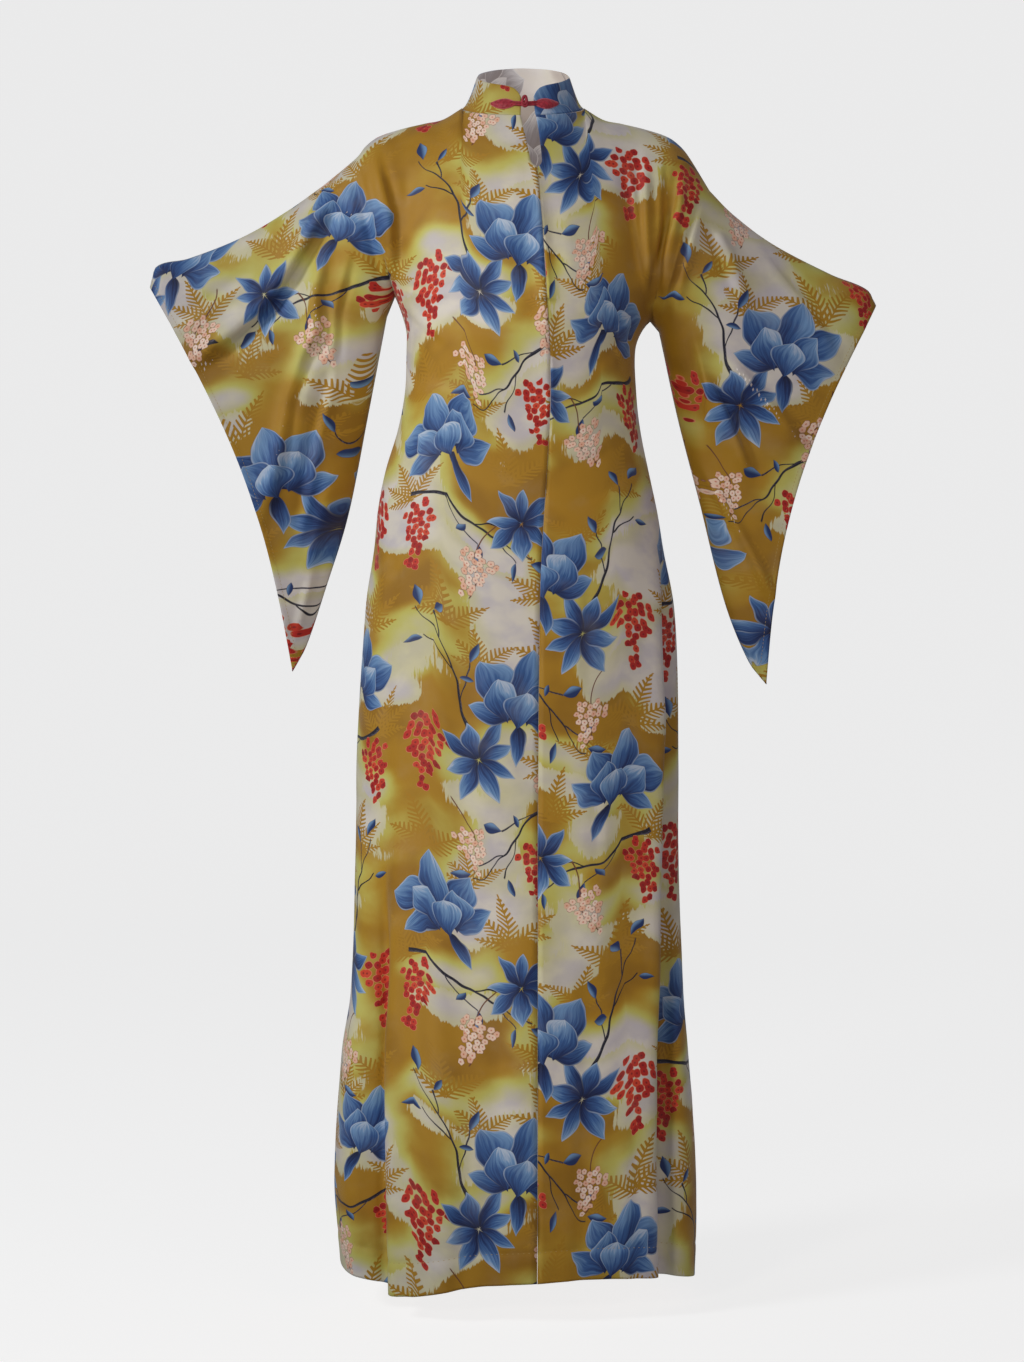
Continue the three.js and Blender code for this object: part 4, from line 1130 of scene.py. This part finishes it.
# Columns: node, face, sides, offset of the print, seed of the small waves.
PANELS = [
    ("front_left", FRONT, [LEFT], (40, 70), 11),
    ("front_right", FRONT, [RIGHT], (-58, 196), 12),
    ("back", BACK, [RIGHT, LEFT], (150, 330), 13),
]
built = {}
for node, face, sides, shift, seed in PANELS:
    built[node] = panel(face, sides, shift, seed)
    data = built[node]
    data["object"] = add_cloth(node, data["points"], data["faces"], data["kinds"], data["fabric"])


def collar_point(angle, height, out=0.0):
    x, y, z = neckline(angle)
    inward = 1 - (COLLAR_LEAN / NECK_WIDTH) * (height / COLLAR_HEIGHT) ** COLLAR_FLARE
    x, y = x * inward, y * inward
    long = np.hypot(x, y)
    return np.stack([x * (1 + out / long), y * (1 + out / long), z + height], axis=-1)


def collar():
    start = float(neckline_angle(FRONT, LEFT, 0))
    end = float(neckline_angle(FRONT, RIGHT, 0)) + 360
    angles = np.linspace(start, end, 181)
    from_end = np.minimum(angles - start, end - angles)
    full = mix(COLLAR_FRONT, COLLAR_HEIGHT, 1 - np.exp(-from_end / COLLAR_CORNER))
    shares = np.concatenate([np.linspace(0, 0.93, 15), [0.965, 0.988, 1.0]])
    height = mix(SEAM_GAP, full[None, :], shares[:, None])
    round_off = -0.8 * ramp(0.94, 1.0, shares)[:, None]
    ripple = 0.5 * np.sin(np.radians(angles) * 9 + 1)[None, :] * ramp(0.1, 0.6, shares)[:, None]
    stitched = -0.35 * bell((full[None, :] - height - 4) / 1.2)
    grid = collar_point(np.broadcast_to(angles, height.shape), height, round_off + ripple + stitched)
    number = np.arange(height.size).reshape(height.shape)
    low, high = number[:-1], number[1:]
    faces = np.stack([low[:, :-1], low[:, 1:], high[:, 1:], high[:, :-1]], axis=-1).reshape(-1, 4)
    points = grid.reshape(-1, 3)
    normals = vertex_normals(points, faces)
    if (normals[:, 0] * points[:, 0]).sum() < 0:
        faces, normals = faces[:, ::-1], -normals
    lean = normals.copy()
    lean[number[0], 2] = 0
    lean /= np.linalg.norm(lean, axis=1, keepdims=True)
    thick = mix(1.5, 0.5, ramp(0.94, 1.0, np.broadcast_to(shares[:, None], height.shape).reshape(-1)))
    shell, quads, kinds = stitched_shell(points, points - lean * thick[:, None], faces)
    around = np.radians(angles) * (NECK_WIDTH - 10)
    fabric = np.stack([np.broadcast_to(around, height.shape), 60 - height], axis=-1).reshape(-1, 2)
    return shell, quads, kinds, np.concatenate([fabric, fabric]) + (20, 30)


collar_cloth = add_cloth("collar", *collar())


# Tubes along paths, and the frog closure.
def tube(path, radius, sides=10, closed=False):
    path = np.asarray(path, dtype=float)
    if closed:
        tangent = np.roll(path, -1, axis=0) - np.roll(path, 1, axis=0)
    else:
        tangent = np.gradient(path, axis=0)
    tangent /= np.linalg.norm(tangent, axis=1, keepdims=True)
    front = np.tile([0.0, -1.0, 0.0], (len(path), 1))
    front -= tangent * (front * tangent).sum(axis=1, keepdims=True)
    front /= np.linalg.norm(front, axis=1, keepdims=True)
    side = np.cross(tangent, front)
    turn = np.linspace(0, 2 * np.pi, sides, endpoint=False)
    radius = np.broadcast_to(radius, (len(path),))
    ring = (
        path[:, None]
        + side[:, None] * (np.cos(turn)[None, :, None] * radius[:, None, None])
        + front[:, None] * (np.sin(turn)[None, :, None] * radius[:, None, None])
    )
    points = ring.reshape(-1, 3)
    count = len(path)
    faces = []
    for i in range(count if closed else count - 1):
        j = (i + 1) % count
        for k in range(sides):
            n = (k + 1) % sides
            faces.append((i * sides + k, i * sides + n, j * sides + n, j * sides + k))
    return points, faces


def joined(parts):
    points, faces, shift = [], [], 0
    for part_points, part_faces in parts:
        points.append(part_points)
        faces.append(np.asarray(part_faces) + shift)
        shift += len(part_points)
    return np.concatenate(points), np.concatenate(faces)


def frog_leaf(side):
    steps, strips = 44, 18
    along, across = np.meshgrid(np.linspace(0, 1, steps + 1), np.linspace(-1, 1, strips + 1), indexing="ij")
    angle = FROG_MIDDLE + side * mix(LEAF_FROM, LEAF_TO, along)
    half = LEAF_HALF * (0.22 + 0.78 * np.sin(np.pi * along**0.85))
    height = FROG_HEIGHT + half * across - FROG_FALL * along
    swell = (1 - across**2) ** 0.6 * np.sin(np.pi * mix(0.1, 0.9, along)) ** 0.7
    pinch = 0.5 * bell((np.abs(across) - 0.62) / 0.1) * np.sin(np.pi * along)
    crumple = 0.25 * np.sin(along * 31 + across * 3) * (1 - across**2)
    front = collar_point(angle, height, SEAM_GAP + 0.7 + LEAF_THICK * swell - pinch + crumple)
    back = collar_point(angle, height, SEAM_GAP)
    number = np.arange(along.size).reshape(along.shape)
    quads = grid_quads(number)
    if side < 0:
        quads = quads[:, ::-1]
    body = stitched_shell(front.reshape(-1, 3), back.reshape(-1, 3), quads)[:2]
    ring = np.concatenate([number[:, -1], number[-1, -2::-1], number[-2::-1, 0], number[0, 1:-1]])
    outline = (front.reshape(-1, 3)[ring] + back.reshape(-1, 3)[ring]) / 2
    piping = tube(outline, 0.85, 8, closed=True)
    return body, piping


for side, word in ((LEFT, "left"), (RIGHT, "right")):
    (points, faces), (pipe_points, pipe_faces) = frog_leaf(side)
    node = "frog_leaf_" + word
    leaf = add_piece(make_mesh(node + "_pad", points, faces), "frog_cloth", node, crimson)
    piping = make_mesh("frog_piping_" + word, pipe_points, pipe_faces)
    add_piece(piping, "frog_cloth", None, piping_red)


def frog_knot():
    ends = [collar_point(FROG_MIDDLE + side * (LEAF_FROM + 1.5), FROG_HEIGHT, 1.6) for side in (-1, 1)]
    t = np.linspace(0, 1, 25)
    middle = collar_point(FROG_MIDDLE, FROG_HEIGHT, 3.2)
    parts = []
    for up in (1.5, -1.4):
        path = np.outer(1 - t, ends[0]) + np.outer(t, ends[1])
        path[:, 1] = mix(path[:, 1], middle[1], np.sin(np.pi * t))
        path[:, 2] += up - 1.3 * np.sin(np.pi * t)
        parts.append(tube(path, 1.6))
    centre = np.array([(ends[0][0] + ends[1][0]) / 2, middle[1] - 0.4, middle[2] - 1.0])
    turn = np.linspace(0, 2 * np.pi, 40, endpoint=False)
    for tilt, lean in ((0.0, 0.5), (1.05, 0.4), (2.1, 0.45), (1.57, 0.1)):
        ring = np.stack([np.cos(turn) * 3.3, np.sin(turn) * 2.4 * lean, np.sin(turn) * 3.1], axis=-1)
        spun = ring.copy()
        spun[:, 0] = ring[:, 0] * np.cos(tilt) - ring[:, 2] * np.sin(tilt)
        spun[:, 2] = ring[:, 0] * np.sin(tilt) + ring[:, 2] * np.cos(tilt)
        parts.append(tube(spun + centre, 1.25, closed=True))
    loop = np.stack([
        np.sin(turn) * 3.2 * (0.55 + 0.45 * np.cos(turn / 2 + 0.4) ** 2),
        -0.8 + 0 * turn,
        4.6 - np.cos(turn) * 4.6,
    ], axis=-1)
    parts.append(tube(loop + centre, 1.9, closed=True))
    return joined(parts)


add_piece(make_mesh("frog_knot_cord", *frog_knot()), "frog_cloth", "frog_knot", crimson)


# Sewing: small stitches along tracks on the outer cloth, joined into one mesh for each track.
def stitches(name, points, normals, pitch, long, thick, material):
    steps = np.linalg.norm(np.diff(points, axis=0), axis=1)
    run = np.concatenate([[0], np.cumsum(steps)])
    places = np.arange(pitch / 2, run[-1] - pitch / 2, pitch)

    def at(values, s):
        return np.stack([np.interp(s, run, values[:, k]) for k in range(3)], axis=-1)

    start, end = at(points, places - long / 2), at(points, places + long / 2)
    out = at(normals, places)
    out /= np.linalg.norm(out, axis=1, keepdims=True)
    along = end - start
    along /= np.linalg.norm(along, axis=1, keepdims=True)
    side = np.cross(along, out) * thick
    lifted = (start + end) / 2 + out * thick * 0.9
    tip = side * 0.6
    shape = [start - tip, start + tip, lifted + side, lifted - side, end + tip, end - tip]
    low = [point - out * thick * 0.6 for point in shape]
    corners = np.stack(shape + low, axis=1).reshape(-1, 3)
    pattern = np.array([
        (0, 1, 2, 3), (3, 2, 4, 5), (6, 7, 1, 0), (7, 8, 2, 1), (8, 10, 4, 2), (10, 11, 5, 4), (11, 9, 3, 5),
        (9, 6, 0, 3),
    ])
    faces = (np.arange(len(places))[:, None, None] * 12 + pattern[None]).reshape(-1, 4)
    add_piece(make_mesh(name, corners, faces, smooth=False), "printed_cloth", None, material)


def thread_surface():
    material, sheet, shader = surface("ochre thread")
    place = Value(sheet, sheet.node("ShaderNodeTexCoord").outputs["Object"])
    tone = sheet.noise(place, 900.0, 2.0)
    sheet.feed(shader.inputs["Base Color"], sheet.blend(srgb(170, 140, 70), srgb(206, 180, 110), tone))
    shader.inputs["Roughness"].default_value = 0.6
    return material


thread = thread_surface()
for node in ("front_left", "front_right", "back"):
    data = built[node]
    track = data["tracks"]["hem"]
    stitches(node + "_hem_stitches", data["outer"][track], data["normals"][track], 6.5, 2.2, 0.28, thread)
    for count, track in enumerate(data["tracks"]["cuffs"]):
        name = f"{node}_cuff_stitches_{count}"
        stitches(name, data["outer"][track], data["normals"][track], 4.5, 2.6, 0.25, thread)


# Camera, light, floor and backdrop.
FLOOR, SIDES, NEAR_END = -1465.0, 5000.0, -5600.0
CURVE_FROM, CURVE, WALL_HEIGHT = 4700, 900, 4500.0  # the wall stands behind the camera of every view


def backdrop():
    """A pale floor that curves up into a pale wall."""
    profile = [(NEAR_END, 0.0), (float(CURVE_FROM), 0.0)]
    for k in range(1, 17):
        turn = math.pi / 2 * k / 16
        profile.append((CURVE_FROM + CURVE * math.sin(turn), CURVE * (1 - math.cos(turn))))
    profile.append((float(CURVE_FROM + CURVE), WALL_HEIGHT))
    points, faces = [], []
    for y, z in profile:
        points += [(-SIDES, y, FLOOR + z), (SIDES, y, FLOOR + z)]
    for k in range(len(profile) - 1):
        faces.append((2 * k, 2 * k + 1, 2 * k + 3, 2 * k + 2))
    mesh = make_mesh("backdrop", np.array(points), faces)
    paper, _, shader = surface("pale paper")
    shader.inputs["Base Color"].default_value = (0.3, 0.3, 0.3, 1)
    shader.inputs["Roughness"].default_value = 0.9
    shader.inputs["Specular IOR Level"].default_value = 0.1
    shader.inputs["Emission Color"].default_value = (1, 1, 1, 1)
    shader.inputs["Emission Strength"].default_value = 0.755
    mesh.materials.append(paper)
    made = link("backdrop", mesh)
    made.visible_diffuse = False
    made.visible_glossy = False


backdrop()


def light(kind, name, place, target, energy, colour=(1, 1, 1), **settings):
    data = bpy.data.lights.new(name, kind)
    data.energy = energy
    data.color = colour
    for key, value in settings.items():
        setattr(data, key, value)
    made = link(name, data)
    made.location = place
    made.rotation_euler = (Vector(target) - Vector(place)).to_track_quat("-Z", "Y").to_euler()


WARM, ROSE = (1.0, 0.93, 0.82), (1.0, 0.7, 0.64)
light("AREA", "key", (-2.5, -1.5, 0.9), (0, 0, -0.7), 34, shape="DISK", size=0.8)
for name, place, target, energy, cone, radius in (
    ("torso", (-1.1, -2.5, 0.5), (-0.02, 0, -0.28), 108, 17, 0.2),
    ("skirt", (-1.3, -2.5, -0.2), (-0.01, 0, -1.0), 98, 25, 0.25),
):
    spread = {"spot_size": math.radians(cone), "spot_blend": 1.0, "shadow_soft_size": radius}
    light("SPOT", name, place, target, energy, WARM, **spread)
light("AREA", "fill", (2.6, -2.4, -0.2), (0.2, 0, -0.5), 9, ROSE, shape="DISK", size=2.0)
world = bpy.data.worlds.new("soft studio")
world.use_nodes = True
world.node_tree.nodes["Background"].inputs[0].default_value = (0.95, 0.96, 1.0, 1)
world.node_tree.nodes["Background"].inputs[1].default_value = 0.2
bpy.context.scene.world = world

camera_data = bpy.data.cameras.new("camera")
camera_data.lens = 67.67
camera_data.sensor_width = 36
camera = link("camera", camera_data)
camera.location = (-0.01375, -3.2, -0.695)
camera.rotation_euler = (math.pi / 2, 0, 0)
bpy.context.scene.camera = camera
bpy.context.scene.view_settings.view_transform = "Standard"
